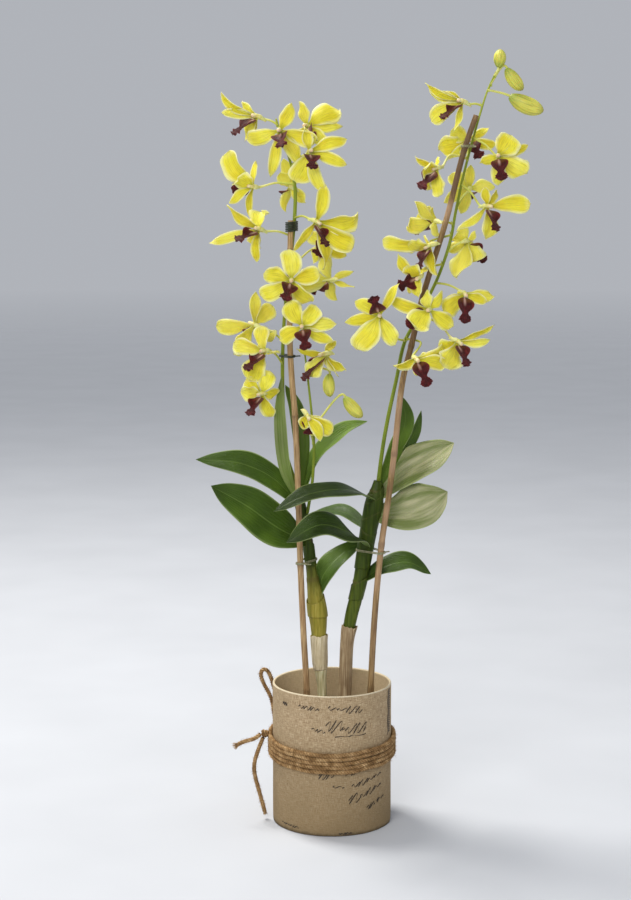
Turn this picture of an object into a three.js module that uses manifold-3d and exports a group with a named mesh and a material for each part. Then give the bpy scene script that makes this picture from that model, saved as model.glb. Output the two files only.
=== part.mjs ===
// A potted yellow Dendrobium orchid: a paper-covered pot wound with twine, two leafy canes,
// two bamboo stakes and three flower spikes with their blooms and buds.
// Millimetres, +Z up, +X to the right and +Y away from the viewer.
// The origin is the centre of the pot's base, on the table.

import * as THREE from 'three';
import { mergeVertices } from 'three/addons/utils/BufferGeometryUtils.js';
import Module from 'manifold-3d';

const wasm = await Module();
wasm.setup();

// Driving sizes

const CLEARANCE = 0.3;              // gap kept between pieces that touch
const POT_RADIUS = 59;
const POT_HEIGHT = 140;
const POT_WALL = 2.4;
const POT_FLOOR = 3;
const POT_SIDES = 36;

const LINER_FOOT_RADIUS = 45;       // the thin nursery pot inside
const LINER_RIM_RADIUS = 52;
const LINER_HEIGHT = 102;
const LINER_WALL = 1.4;
const LINER_SIDES = 24;
const MEDIUM_TOP = 100;
const MEDIUM_DOME = 3;              // how much lower it lies at the liner than in the middle
const MEDIUM_FLAT_RADIUS = 27;

const TWINE_DIAMETER = 4.8;
const TWINE_TURNS = 4;
const TWINE_PITCH = 5.4;
const TWINE_HEIGHT = 79;            // middle of the wraps at the pot's sides
const TWINE_SAG = 5;                // the wraps lie this much lower at the front

const STAKE_RADIUS = 3;
const STAKE_KNUCKLE = 3.5;

const CANE_SIDES = 8;
const STAKE_SIDES = 6;
const SPIKE_SIDES = 6;
const PEDICEL_SIDES = 4;
const BUD_SIDES = 6;

const LEAF_THICKNESS = 1.8;         // blades are this thick along their midribs
const TEPAL_THICKNESS = 1.2;
const LIP_THICKNESS = 1.4;
const LIP_WIDTH = 15;

// Parts of a bloom, measured from its centre: along its gaze, toward its lip, and the radius
const COLUMN_TIP = { ahead: 8, down: -1.5, radius: 1.8 };
const HUB_RADIUS = 4;
const SPUR = { ahead: -7, down: 3, radius: 1.6 };
const LIP_START = { ahead: 3, down: 3.2 };
const LIP_ARCH = 4;                 // how far the lip bows forward before it turns down
const TEPAL_BULGE = 0.14;           // how far a tepal bows forward, as a share of its length
const TURN_TO_LIGHT = 0.6;          // how far tepals twist to the front, whatever way the bloom looks
const PEDICEL_FOOT_RADIUS = 1.1;
const PEDICEL_BEND_RADIUS = 1.2;
const PEDICEL_ARCH = 0.08;          // how far a pedicel rises in its middle, as a share of its length

// Outlines along a blade: how far along, and what share of the full width

const SEPAL_OUTLINE = [[0, 0.14], [0.4, 0.95], [0.76, 0.82], [1, 0.1]];
const PETAL_OUTLINE = [[0, 0.1], [0.3, 0.66], [0.6, 1], [0.85, 0.8], [1, 0.18]];
const LEAF_OUTLINE = [[0, 0.22], [0.16, 0.62], [0.38, 0.96], [0.62, 0.98], [0.85, 0.62], [1, 0.05]];
const PETAL_FROM_WIDTH = 13;        // a tepal at least this wide has the rounder petal outline

// A lip's edges curl up as well, by the third number
const LIP_OUTLINE = [[0, 0.3, 0.2], [0.32, 0.95, 1], [0.54, 0.3, 0.15], [0.8, 0.8, 0], [1, 0.26, -0.1]];

// A bud: how far along, and its radius as a share of its full width
const BUD_PROFILE = [[0, 0.16], [0.25, 0.42], [0.5, 0.5], [0.78, 0.36], [1, 0.06]];
const BUD_NECK = 0.14;              // its stalk meets it this far behind its foot

// Routes of the stems. Each point is x, y, z and the stem's radius there.

const LEFT_CANE = [
  [-9, 4, 72, 5], [-10, 5, 130, 5], [-11, 5, 148, 5.4], [-12, 5, 158, 6.9], [-13, 5, 186, 7.6],
  [-14, 5, 205, 9.4], [-16, 5, 222, 8.6], [-20, 5, 248, 5.6], [-24, 5, 280, 5.2], [-30, 5, 311, 5],
  [-36, 4, 334, 4],
];
const RIGHT_CANE = [
  [11, 4, 72, 5.2], [13, 5, 130, 5.2], [15, 5, 180, 5.4], [18, 5, 200, 6.4], [23, 5, 221, 6.8],
  [27, 5, 238, 7], [31, 5, 262, 7.4], [35, 5, 286, 7.8], [41, 5, 318, 8.4], [45, 5, 340, 4.6],
];
const LEFT_SHEATH = { from: 151, to: 187, wall: 1, ease: 0.2 };
const RIGHT_SHEATH = { from: 104, to: 196, wall: 0.9, ease: 0.6 };

const LEFT_STAKE = [
  [-24, -15, 36], [-25, -15, 133], [-28, -15, 190], [-31, -15, 260], [-33, -14, 330], [-36, -12, 406],
  [-39, -11, 442], [-41, -10, 480], [-41, -9, 518], [-40.5, -9, 566], [-40, -9, 594],
];
const RIGHT_STAKE = [
  [36, -12, 38], [38, -12, 134], [42, -12, 214], [48, -12, 280], [55, -12, 329], [60, -11, 369],
  [68, -10, 441], [76, -9, 474], [86, -9, 519], [94, -9, 547], [108, -9, 593], [125, -9, 661],
  [136, -9, 693],
];

const LEFT_SPIKE = [
  [-36.1, 4, 334.4, 2.2], [-38, 2.5, 344, 2.2], [-46, 0, 372, 2.2], [-48, 0, 420, 2.1], [-48, 0, 469, 2],
  [-45, 0, 517, 1.9], [-39, 0, 567, 2], [-36, 0, 603, 2.2], [-36, 0, 626, 2], [-40, 0, 648, 1.6],
  [-48, 0, 672, 1.4], [-54, 0, 690, 1.1],
];
const SIDE_SPIKE = [
  [-24.2, 0.2, 309, 1.7], [-19, -6, 345, 1.6], [-18, -8, 384, 1.5], [-20, -8, 408, 1.4],
  [-23, -8, 436, 1.3], [-26, -10, 462, 1.1], [-30, -16, 484, 1],
];
const RIGHT_SPIKE = [
  [45.3, 2.9, 340.7, 2.2], [49, 1, 372, 2.1], [54, 0, 402, 2.1], [62, 0, 440, 2], [70, 0, 477, 2],
  [81, 0, 498, 1.9], [92, 0, 519, 1.9], [103, 0, 543, 1.8], [113, 0, 574, 1.8], [118, 0, 602, 1.7],
  [124, 0, 632, 1.6], [132, 0, 664, 1.5], [139, 0, 690, 1.4], [147, 0, 716, 1.2], [155, 0, 734, 1],
];

// Blooms. at: where the column stands; faces: bearing and rise of its gaze in degrees, bearing 0
// toward the viewer and 90 to the right; tepals: tip from the centre and full width; lip: its tip;
// from: how far up the spike its pedicel leaves it; via: a point that the pedicel bends round by.

const LEFT_BLOOMS = [
  { at: [-71, -5, 692], faces: [-55, -5], from: 684, lip: [-24, -13, -17],
    tepals: [[-38, -6, 18, 8], [-19, 22, 13, 10], [-34, -2, 2, 9], [-14, 6, -23, 12], [-4, 18, -20, 9]] },
  { at: [-50, -25, 679], faces: [-5, -15], from: 662, lip: [2, -19, -16],
    tepals: [[14, -4, 24, 12], [-32, 6, -11, 14], [-9, 8, -44, 10], [20, 8, -32, 12], [34, 6, -9, 13]] },
  { at: [-24, -5, 683], faces: [-20, -5], from: 668, lip: [6, -18, -12],
    tepals: [[-6, 4, 23, 10], [31, 8, 19, 18], [35, 12, 2, 10], [19, -3, -18, 12], [-15, -5, -21, 10]] },
  { at: [-22, -30, 659], faces: [15, -5], from: 645, lip: [3, -17, -16],
    tepals: [[36, 2, 11, 11], [36, 3, -13, 10], [13, 4, -40, 11], [-12, 2, -30, 20], [-4, 8, 24, 10]] },
  { at: [-75, -10, 626], faces: [-60, 0], from: 628, lip: [-21, 4, -3],
    tepals: [[-26, -8, 32, 20], [2, 12, 25, 6], [-21, -12, -16, 8], [-4, 14, -31, 7], [-15, -14, 8, 18]] },
  { at: [-40, 10, 626], faces: [-140, 0], from: 612, lip: [-6, 14, -11],
    tepals: [[-10, -4, 14, 12], [-6, 12, 26, 10], [-8, 14, -24, 9], [14, -2, 18, 14], [14, 0, -16, 10]] },
  { at: [-69, -15, 586], faces: [-50, -5], from: 578, lip: [-23, -15, -10],
    tepals: [[1, 10, 17, 17], [-31, -4, 23, 11], [-47, 2, -15, 9], [-3, 4, -33, 8], [-6, 14, -18, 13]] },
  { at: [-16, -33, 594], faces: [38, -34], from: 596, lip: [10, -15, -23],
    tepals: [[8, 4, 36, 12], [43, 8, 1, 18], [35, 6, -25, 17], [-22, -2, -26, 9], [13, 2, -45, 12]] },
  { at: [-6, 10, 573], faces: [-20, -20], from: 546, lip: [-10, -13, -12],
    tepals: [[-19, 4, 8, 12], [14, 8, 20, 12], [20, 8, -14, 12], [-12, 6, -22, 10], [3, 2, -30, 11]] },
  { at: [-1, -10, 537], faces: [-120, -20], from: 520, lip: [-21, 2, -10],
    tepals: [[-28, -12, 2, 21], [21, 2, 9, 6], [22, -4, -7, 6], [-6, 12, 24, 12], [4, 10, -20, 12]] },
  { at: [-39, -35, 539], faces: [-5, -20], from: 526, via: [-49, -14, 529], lip: [-6, -19, -18],
    tepals: [[-1, -6, 29, 17], [-26, -2, 6, 14], [-31, 2, -16, 14], [19, 4, -22, 14], [26, 2, 6, 14]] },
  { at: [-74, -8, 494], faces: [-110, 5], from: 478, lip: [-12, 9, -11],
    tepals: [[-38, 0, -2, 13], [0, 4, 32, 11], [16, 8, 18, 15], [-21, -14, -27, 18], [15, -2, -17, 17]] },
  { at: [-64, -27, 471], faces: [-45, -15], from: 455, lip: [-19, -15, -17],
    tepals: [[-16, -2, -29, 20], [12, 14, -5, 12], [-31, -4, 7, 14], [-4, -2, 24, 13], [-8, 18, 15, 14]] },
  { at: [-67, -27, 430], faces: [-40, -20], from: 426, lip: [-13, -14, -20],
    tepals: [[-20, -6, 5, 15], [7, -2, 22, 14], [17, 12, 1, 10], [10, 6, -25, 12], [-15, 6, 13, 13]] },
];

const SIDE_BLOOMS = [
  { at: [-29, -45, 496], faces: [0, -15], from: 483, lip: [4, -17, -21],
    tepals: [[-13, -4, 24, 16], [14, -4, 19, 15], [33, 3, 3, 12], [29, 4, -15, 10], [-22, 4, -14, 13]] },
  { at: [-7, -14, 467], faces: [-62, -24], from: 444, lip: [-22, -8, -25],
    tepals: [[20, 8, -16, 13], [-28, -2, 2, 8], [-16, -6, -21, 15], [11, 6, 12, 7], [14, 12, -23, 9]] },
  { at: [-25, -14, 408], faces: [30, -50], from: 380, lip: [2, -4, -19],
    tepals: [[25, -7, -17, 13], [15, -12, -22, 10], [-4, -8, -12, 11], [19, 4, -8, 10], [8, 4, -21, 10]] },
];

const RIGHT_BLOOMS = [
  { at: [124, -5, 706], faces: [-55, -5], from: 702, lip: [-22, -13, -16],
    tepals: [[-37, -6, 17, 7], [-35, 4, 9, 10], [-16, 8, 10, 8], [-31, 0, -19, 14], [-6, 8, -28, 7]] },
  { at: [131, 22, 670], faces: [15, -10], from: 652, lip: [11, -13, -17],
    tepals: [[-17, -2, 9, 14], [-28, 4, -8, 18], [-20, 6, -19, 9], [20, 4, 13, 7], [29, 4, -5, 9]] },
  { at: [156, -20, 655], faces: [0, -10], from: 672, lip: [3, -15, -23],
    tepals: [[12, -3, 19, 21], [31, 4, 9, 9], [28, 3, -19, 18], [-17, 2, -7, 10], [1, 6, -29, 12]] },
  { at: [99, -18, 644], faces: [-50, -25], from: 652, via: [113, -1, 656], lip: [-17, -6, -20],
    tepals: [[-22, -6, 10, 7], [0, 8, 10, 8], [2, -4, -27, 13], [-15, -14, 0, 14], [-8, 12, -21, 9]] },
  { at: [133, 20, 624], faces: [175, -10], from: 606, lip: [0, 17, -9],
    tepals: [[24, 0, 3, 12], [-9, 3, -25, 10], [-25, 2, -14, 10], [0, 0, 22, 9], [-20, 3, 12, 14]] },
  { at: [146, -18, 608], faces: [40, -20], from: 628, lip: [9, -12, -24],
    tepals: [[41, -6, 2, 15], [2, -4, -32, 15], [-27, -6, -21, 7], [-2, 2, 18, 8], [11, 18, 15, 8]] },
  { at: [99, 4, 593], faces: [-125, -10], from: 590, lip: [-22, 6, -10],
    tepals: [[-19, -8, 19, 11], [-29, -8, -4, 13], [1, -10, -15, 10], [-2, 10, 13, 9], [-14, 4, 10, 17]] },
  { at: [93, -20, 571], faces: [-60, -35], from: 580, via: [94, -2, 574], lip: [-13, -7, -23],
    tepals: [[-46, -10, 2, 14], [-21, -12, 0, 15], [7, -2, -28, 12], [-6, 12, 8, 8], [-9, 16, -17, 10]] },
  { at: [83, -24, 541], faces: [-45, -20], from: 552, via: [88, -2, 548], lip: [-21, -7, -9],
    tepals: [[-24, -2, 20, 11], [-12, -14, 9, 14], [-3, -6, -19, 11], [6, 13, 8, 10], [-9, 14, -15, 8]] },
  { at: [130, 8, 574], faces: [135, -20], from: 562, lip: [18, 11, -21],
    tepals: [[-12, -8, 10, 17], [-12, -10, -34, 18], [9, -2, -20, 17], [7, -6, 10, 7], [-20, 2, -10, 10]] },
  { at: [44, -45, 506], faces: [-5, 10], from: 478, via: [58, -20, 484], lip: [-7, -14, 19],
    tepals: [[-24, -2, 14, 12], [-32, 2, -7, 10], [-20, -3, -32, 19], [15, 0, -28, 13], [17, 4, 32, 8]] },
  { at: [92, -34, 511], faces: [-30, -15], from: 520, via: [96, -8, 520], lip: [-22, -6, -16],
    tepals: [[-15, -21, -17, 20], [-40, -2, 10, 11], [23, 8, -17, 14], [15, 4, 15, 9], [-6, 2, 18, 12]] },
  { at: [126, -16, 525], faces: [10, -30], from: 534, lip: [0, -12, -28],
    tepals: [[-20, -5, -18, 16], [30, 6, -2, 11], [21, 2, -9, 9], [-20, 4, -11, 11], [-8, 2, -3, 9]] },
  { at: [119, -22, 480], faces: [45, -38], from: 504, via: [104, -8, 494], lip: [10, -8, -24],
    tepals: [[35, 4, 16, 7], [32, -5, 0, 8], [-11, -6, -26, 22], [-18, 0, -8, 14], [-19, 6, -20, 12]] },
  { at: [79, -30, 464], faces: [25, -30], from: 480, via: [85, -5, 477], lip: [12, -11, -26],
    tepals: [[-21, 2, -8, 11], [2, 4, -17, 8], [34, 6, 8, 16], [30, 2, -7, 13], [16, 10, 0, 10]] },
];

// Buds: from the foot to the tip, their full width, and where the pedicel leaves the spike

const SIDE_BUDS = [
  { foot: [-3, -2, 446], tip: [-2, -4, 424], width: 12, from: 454 },
  { foot: [12, -6, 424], tip: [29, -10, 405], width: 13, from: 394 },
];
const RIGHT_BUDS = [
  { foot: [157, 0, 738], tip: [158, 0, 755], width: 12, from: 730 },
  { foot: [165, 2, 737], tip: [181, 3, 717], width: 13, from: 722 },
  { foot: [168, -3, 711], tip: [200, -5, 697], width: 17, from: 717 },
];

// Leaves: midrib points from the cane outward, full width, the way the upper face looks,
// and how deep the blade folds along its midrib as a share of its half width

const LEFT_LEAVES = [
  { rib: [[-32, 4, 316], [-59, -8, 345], [-90, -14, 360], [-132, -20, 365]],
    width: 29, face: [0.1, -0.75, 0.65], fold: 0.3 },
  { rib: [[-26, 4, 280], [-50, -12, 296], [-82, -24, 321], [-117, -30, 341]],
    width: 43, face: [0.1, -0.85, 0.5], fold: 0.25 },
  { rib: [[-15, 4, 222], [-8, 12, 246], [8, 22, 263], [31, 32, 276]],
    width: 26, face: [-0.5, -0.7, 0.5], fold: 0.3 },
  { rib: [[-30, 6, 322], [-12, 12, 362], [13, 17, 385], [35, 22, 397]],
    width: 28, face: [-0.6, -0.4, 0.7], fold: 0.6 },
  { rib: [[-34, 1, 322], [-45, -10, 354], [-50, -12, 402], [-49, -10, 446]],
    width: 13, face: [-0.3, -0.9, 0.1], fold: 0.3 },
  { rib: [[-32, 7, 326], [-30, 13, 368], [-35, 14, 409], [-46, 13, 434]],
    width: 18, face: [0.5, -0.85, 0], fold: 0.3 },
];
const RIGHT_LEAVES = [
  { rib: [[41, 2, 322], [13, -34, 337], [-22, -50, 335], [-56, -55, 320]],
    width: 29, face: [0, -0.4, 0.9], fold: 0.25 },
  { rib: [[34, 2, 276], [14, -40, 297], [-12, -55, 306], [-44, -60, 291]],
    width: 35, face: [0, -0.6, 0.8], fold: 0.25 },
  { rib: [[36, 8, 291], [13, 36, 302], [-7, 47, 301], [-27, 52, 292]],
    width: 25, face: [0, -0.3, 0.95], fold: 0.3 },
  { rib: [[43, 8, 330], [61, 14, 370], [71, 15, 399], [67, 14, 424]],
    width: 21, face: [0.6, -0.8, 0], fold: 0.3 },
  { rib: [[43, 9, 328], [71, 22, 366], [82, 26, 388], [88, 28, 407]],
    width: 13, face: [0.7, -0.7, 0], fold: 0.4 },
  { rib: [[42, 7, 322], [72, 13, 347], [98, 16, 362], [120, 18, 376]],
    width: 38, face: [-0.2, -0.8, 0.55], fold: 0.4 },
  { rib: [[41, 5, 306], [70, 4, 308], [95, 4, 318], [113, 2, 330]],
    width: 44, face: [0.1, -0.9, 0.4], fold: 0.25 },
  { rib: [[29, 5, 240], [52, 6, 254], [75, 8, 258], [98, 10, 246]],
    width: 26, face: [0, -0.5, 0.85], fold: 0.35 },
];

// Free ends of the twine, all starting at the knot on the pot's left

const KNOT = [-66.5, -4, 88];
const KNOT_RADIUS = 4.2;
const LONG_TAIL = [
  [-68.3, -4, 83.7], [-70, -4, 79.5], [-71.6, -4, 75.5], [-73.2, -4, 71], [-74.8, -4, 66.5],
  [-76.2, -4, 62], [-77.2, -4, 57], [-77.5, -4, 52], [-77, -4, 47], [-76, -4, 42], [-74.8, -4, 37],
  [-73.4, -4, 32], [-72.1, -4, 27], [-70.8, -4, 22], [-69.4, -4, 17], [-68.1, -4, 12], [-67, -4, 7.5],
];
const SHORT_TAIL = [
  [-71, -5, 87.2], [-72.4, -5.4, 86.2], [-73.9, -5.8, 84.9], [-75.5, -6, 83.7], [-77.2, -6, 82.8],
  [-79, -6, 82.2], [-80.8, -6, 81.7], [-82.6, -6, 81.4], [-84.4, -6, 81], [-86.2, -6, 80.5],
  [-87.8, -6, 79.9], [-89.4, -6, 79.2], [-91, -6, 78.4], [-92.4, -6, 77.6], [-93.8, -6, 76.8],
];
const BOW_LOOP = [
  [-57.3, 25.3, 91.4], [-57.6, 25, 96], [-58.2, 24.4, 102], [-59, 23.4, 108], [-60, 22, 114],
  [-61.8, 20, 120], [-64.4, 18, 126], [-67.4, 16, 132], [-69.8, 14.4, 138], [-71, 13.4, 143.4],
  [-70.4, 13, 147.8], [-67.8, 13.4, 149.6], [-65, 14.6, 148], [-62.8, 16.8, 144], [-61, 19.6, 139],
  [-59.6, 22.8, 133], [-58.2, 26, 127], [-56.8, 28.8, 121], [-55.6, 31, 115], [-54.8, 32.6, 109],
  [-54.2, 33.8, 103], [-53.6, 34.8, 98], [-53.4, 35.2, 92],
];
const LOOP_DIAMETER = 3.6;
const TAIL_DIAMETER = 3.8;
const CORD_SIDES = 8;
const CORD_STEP = 2.5;              // in diameters

// Ties, each a flat band of this width and half height, with some room round the stems it holds
const TIE_SECTION = 1.2;
const TIE_ROOM = 0.8;
const TIE_CORNER_STEPS = 4;

const up = new THREE.Vector3(0, 0, 1);
const front = new THREE.Vector3(0, -1, 0);

function vector([x, y, z]) {
  return new THREE.Vector3(x, y, z);
}

function paint(color, roughness) {
  return new THREE.MeshStandardMaterial({ color, roughness, metalness: 0 });
}

// Closed skins

// Closes one ring by pairing its first half of points with its second half, which suits both
// a round section and a thin folded one.
function capRing(indices, start, count, facesForward) {
  for (let k = 0; k < count / 2 - 1; k++) {
    const lower = start + k;
    const lowerNext = start + k + 1;
    const upper = start + count - 1 - k;
    const upperNext = start + count - 2 - k;
    const faces = [[lower, lowerNext, upper]];
    if (upperNext > lowerNext) faces.push([lowerNext, upperNext, upper]);
    for (const [a, b, c] of faces) {
      if (facesForward) indices.push(a, b, c);
      else indices.push(a, c, b);
    }
  }
}

// Joins rings of equal point count into one closed skin. A band that is turned is split along
// its other diagonal, so that the two faces of a thin blade match.
function loft(rings, turned = () => false) {
  const count = rings[0].length;
  const positions = rings.flat().flatMap((point) => [point.x, point.y, point.z]);
  const indices = [];
  for (let row = 0; row < rings.length - 1; row++) {
    for (let k = 0; k < count; k++) {
      const a = row * count + k;
      const b = row * count + (k + 1) % count;
      const c = a + count;
      const d = b + count;
      if (turned(k)) indices.push(a, b, c, b, d, c);
      else indices.push(a, b, d, a, d, c);
    }
  }
  capRing(indices, 0, count, false);
  capRing(indices, (rings.length - 1) * count, count, true);
  const geometry = new THREE.BufferGeometry();
  geometry.setAttribute('position', new THREE.Float32BufferAttribute(positions, 3));
  geometry.setIndex(indices);
  return geometry;
}

// Round rings along a curve, with one radius for each station.
function roundRings(curve, radii, sides, margin) {
  const last = radii.length - 1;
  const rings = [];
  let side = null;
  for (let i = 0; i <= last; i++) {
    const centre = curve.getPoint(i / last);
    const along = curve.getTangent(i / last);
    if (i === 0) centre.addScaledVector(along, -margin);
    if (i === last) centre.addScaledVector(along, margin);
    const start = side ?? (Math.abs(along.z) > 0.9 ? new THREE.Vector3(1, 0, 0) : up.clone());
    side = start.clone().addScaledVector(along, -start.dot(along)).normalize();
    const other = new THREE.Vector3().crossVectors(along, side);
    const ring = [];
    for (let k = 0; k < sides; k++) {
      const angle = 2 * Math.PI * k / sides;
      const radius = radii[i] + margin;
      const point = centre.clone().addScaledVector(side, radius * Math.cos(angle));
      ring.push(point.addScaledVector(other, radius * Math.sin(angle)));
    }
    rings.push(ring);
  }
  return rings;
}

// A stem through points of x, y, z and radius.
function stem(points, sides, margin = 0) {
  const curve = new THREE.CatmullRomCurve3(points.map(vector));
  return loft(roundRings(curve, points.map((point) => point[3]), sides, margin));
}

// A blade along a curve, thickest along its midrib and thin at its edges: keeled below and flat
// above, or, if it is folded, a channel whose edges stand up by its fold and the outline's curl.
function blade(curve, face, outline, width, thickness, fold, margin = 0) {
  const folded = fold > 0 || outline === LIP_OUTLINE;
  const rings = outline.map(([share, breadth, curl = 0]) => {
    const centre = curve.getPoint(share);
    const along = curve.getTangent(share);
    if (share === 0) centre.addScaledVector(along, -margin);
    if (share === 1) centre.addScaledVector(along, margin);
    const across = new THREE.Vector3().crossVectors(face, along).normalize();
    const out = new THREE.Vector3().crossVectors(along, across);
    const bare = width / 2 * breadth;
    const half = bare + 2 * margin;
    const deep = thickness / 2 + 2 * margin;
    const lift = fold * half + curl * width / 2 * half / bare;
    const point = (sideways, height) => (
      centre.clone().addScaledVector(across, sideways).addScaledVector(out, height)
    );
    if (folded) return [point(0, -deep), point(half, lift), point(0, deep), point(-half, lift)];
    return [point(-half, deep), point(0, -deep), point(half, deep)];
  });
  return loft(rings, (k) => (folded ? k % 2 === 1 : k === 2));
}

// Solids

function toSolid(geometry) {
  const bare = geometry.clone();
  bare.deleteAttribute('normal');
  bare.deleteAttribute('uv');
  const merged = mergeVertices(bare, 1e-4);
  const vertProperties = new Float32Array(merged.attributes.position.array);
  const triVerts = new Uint32Array(merged.index.array);
  return new wasm.Manifold(new wasm.Mesh({ numProp: 3, vertProperties, triVerts }));
}

function toGeometry(solid) {
  const mesh = solid.getMesh();
  const geometry = new THREE.BufferGeometry();
  geometry.setAttribute('position', new THREE.BufferAttribute(new Float32Array(mesh.vertProperties), 3));
  geometry.setIndex(new THREE.BufferAttribute(new Uint32Array(mesh.triVerts), 1));
  return geometry;
}

function joinAll(geometries) {
  return geometries.map(toSolid).reduce((whole, solid) => whole.add(solid));
}

// The largest body of a solid, without the scraps that a cut leaves loose.
function largestBody(solid) {
  const bodies = solid.decompose();
  return bodies.reduce((best, body) => (body.volume() > best.volume() ? body : best));
}

const orchid = new THREE.Group();

function addNode(name, geometry, material) {
  const mesh = new THREE.Mesh(geometry, material);
  mesh.name = name;
  orchid.add(mesh);
}

// Pot, liner and growing medium

// A round solid about the pot's axis, from a profile of radius and height.
function lathe(profile, sides) {
  const points = profile.map(([radius, z]) => new THREE.Vector2(radius, z));
  return new THREE.LatheGeometry(points, sides).rotateX(Math.PI / 2);
}

function pot() {
  const inner = POT_RADIUS - POT_WALL;
  return lathe([
    [0, 0], [POT_RADIUS, 0], [POT_RADIUS, POT_HEIGHT],
    [inner, POT_HEIGHT], [inner, POT_FLOOR], [0, POT_FLOOR],
  ], POT_SIDES);
}

const linerFoot = POT_FLOOR + CLEARANCE;
const linerFloor = linerFoot + LINER_WALL;

function liner() {
  const rim = linerFoot + LINER_HEIGHT;
  return lathe([
    [0, linerFoot], [LINER_FOOT_RADIUS, linerFoot], [LINER_RIM_RADIUS, rim],
    [LINER_RIM_RADIUS - LINER_WALL, rim], [LINER_FOOT_RADIUS - LINER_WALL, linerFloor], [0, linerFloor],
  ], LINER_SIDES);
}

function linerInside(z) {
  const share = (z - linerFloor) / (linerFoot + LINER_HEIGHT - linerFloor);
  return THREE.MathUtils.lerp(LINER_FOOT_RADIUS, LINER_RIM_RADIUS, share) - LINER_WALL - 2 * CLEARANCE;
}

function medium(stems) {
  const foot = linerFloor + CLEARANCE;
  const shoulder = MEDIUM_TOP - MEDIUM_DOME;
  const heap = lathe([
    [0, foot], [linerInside(foot), foot], [linerInside(shoulder), shoulder],
    [MEDIUM_FLAT_RADIUS, MEDIUM_TOP], [0, MEDIUM_TOP],
  ], LINER_SIDES);
  const holes = stems.map(([points, sides]) => toSolid(stem(points, sides, CLEARANCE)));
  return toGeometry(holes.reduce((solid, hole) => solid.subtract(hole), toSolid(heap)));
}

// Twine

// Lets a ring lie lower at the front than at the back.
function sag(ring) {
  const position = ring.attributes.position;
  for (let i = 0; i < position.count; i++) {
    position.setZ(i, position.getZ(i) + TWINE_SAG * position.getY(i) / POT_RADIUS);
  }
  return ring;
}

// Four turns side by side as one ridged ring.
function twineWraps() {
  const inner = POT_RADIUS + CLEARANCE;
  const outer = inner + TWINE_DIAMETER;
  const groove = outer - TWINE_DIAMETER / 3;
  const foot = TWINE_HEIGHT - TWINE_TURNS * TWINE_PITCH / 2;
  const top = foot + TWINE_TURNS * TWINE_PITCH;
  const profile = [[inner, foot]];
  for (let turn = 0; turn < TWINE_TURNS; turn++) {
    const z = foot + turn * TWINE_PITCH;
    if (turn > 0) profile.push([groove, z]);
    profile.push([outer, z + TWINE_PITCH / 2]);
  }
  profile.push([inner, top]);
  profile.push([inner, foot]);
  return sag(lathe(profile, POT_SIDES));
}

function twineKnot() {
  const lump = new THREE.IcosahedronGeometry(KNOT_RADIUS, 1);
  lump.translate(...KNOT);
  const room = toSolid(twineClearance());
  return toGeometry(largestBody(toSolid(lump).subtract(room)));
}

// The space that the wraps and their clearance take up, as a plain sagging drum.
function twineClearance() {
  const outer = POT_RADIUS + TWINE_DIAMETER + 2 * CLEARANCE;
  const half = TWINE_TURNS * TWINE_PITCH / 2 + CLEARANCE;
  const foot = TWINE_HEIGHT - half;
  const top = TWINE_HEIGHT + half;
  return sag(lathe([[0, foot], [outer, foot], [outer, top], [0, top]], POT_SIDES));
}

function cord(points, diameter) {
  const route = new THREE.CatmullRomCurve3(points.map(vector));
  const section = new THREE.Shape();
  for (let k = 0; k < CORD_SIDES; k++) {
    const angle = 2 * Math.PI * k / CORD_SIDES;
    const x = diameter / 2 * Math.cos(angle);
    const y = diameter / 2 * Math.sin(angle);
    if (k === 0) section.moveTo(x, y);
    else section.lineTo(x, y);
  }
  section.closePath();
  const steps = Math.round(route.getLength() / (CORD_STEP * diameter));
  return new THREE.ExtrudeGeometry(section, { steps, bevelEnabled: false, extrudePath: route });
}

// Canes, sheaths and stakes

function leaf({ rib, width, face, fold }, margin = 0) {
  const curve = new THREE.CatmullRomCurve3(rib.map(vector));
  return blade(curve, vector(face).normalize(), LEAF_OUTLINE, width, LEAF_THICKNESS, fold, margin);
}

function leafyCane(points, leaves) {
  return joinAll([stem(points, CANE_SIDES), ...leaves.map((spec) => leaf(spec))]);
}

// The part of a cane between two heights, one ring for each cane point inside and one at each end.
function caneStretch(points, from, to) {
  const curve = new THREE.CatmullRomCurve3(points.map(vector));
  const atHeight = (z) => {
    const last = points.length - 1;
    const i = Math.max(1, points.findIndex((point) => point[2] >= z));
    const share = (z - points[i - 1][2]) / (points[i][2] - points[i - 1][2]);
    const centre = curve.getPoint((i - 1 + share) / last);
    return [centre.x, centre.y, centre.z, THREE.MathUtils.lerp(points[i - 1][3], points[i][3], share)];
  };
  const between = points.filter((point) => point[2] > from && point[2] < to);
  return [atHeight(from), ...between, atHeight(to)];
}

// A dry sheath: a thin sleeve that follows the cane.
function sheath(points, { from, to, wall, ease }) {
  const stretch = caneStretch(points, from, to);
  const wider = (extra) => stretch.map(([x, y, z, radius]) => [x, y, z, radius + extra]);
  const outside = toSolid(stem(wider(ease + wall), CANE_SIDES));
  return toGeometry(outside.subtract(toSolid(stem(wider(ease), CANE_SIDES, CLEARANCE))));
}

function stakePoints(route) {
  return route.map((point, i) => [...point, i % 2 === 1 ? STAKE_KNUCKLE : STAKE_RADIUS]);
}

// Blooms

// The way a bloom looks.
function gaze([bearing, rise]) {
  const turn = THREE.MathUtils.degToRad(bearing);
  const lift = THREE.MathUtils.degToRad(rise);
  const level = Math.cos(lift);
  return new THREE.Vector3(Math.sin(turn) * level, -Math.cos(turn) * level, Math.sin(lift));
}

// Where a spike passes a height.
function onSpike(spike, height) {
  const i = Math.max(1, spike.findIndex((point) => point[2] >= height));
  const share = (height - spike[i - 1][2]) / (spike[i][2] - spike[i - 1][2]);
  return vector(spike[i - 1]).lerp(vector(spike[i]), share);
}

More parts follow.
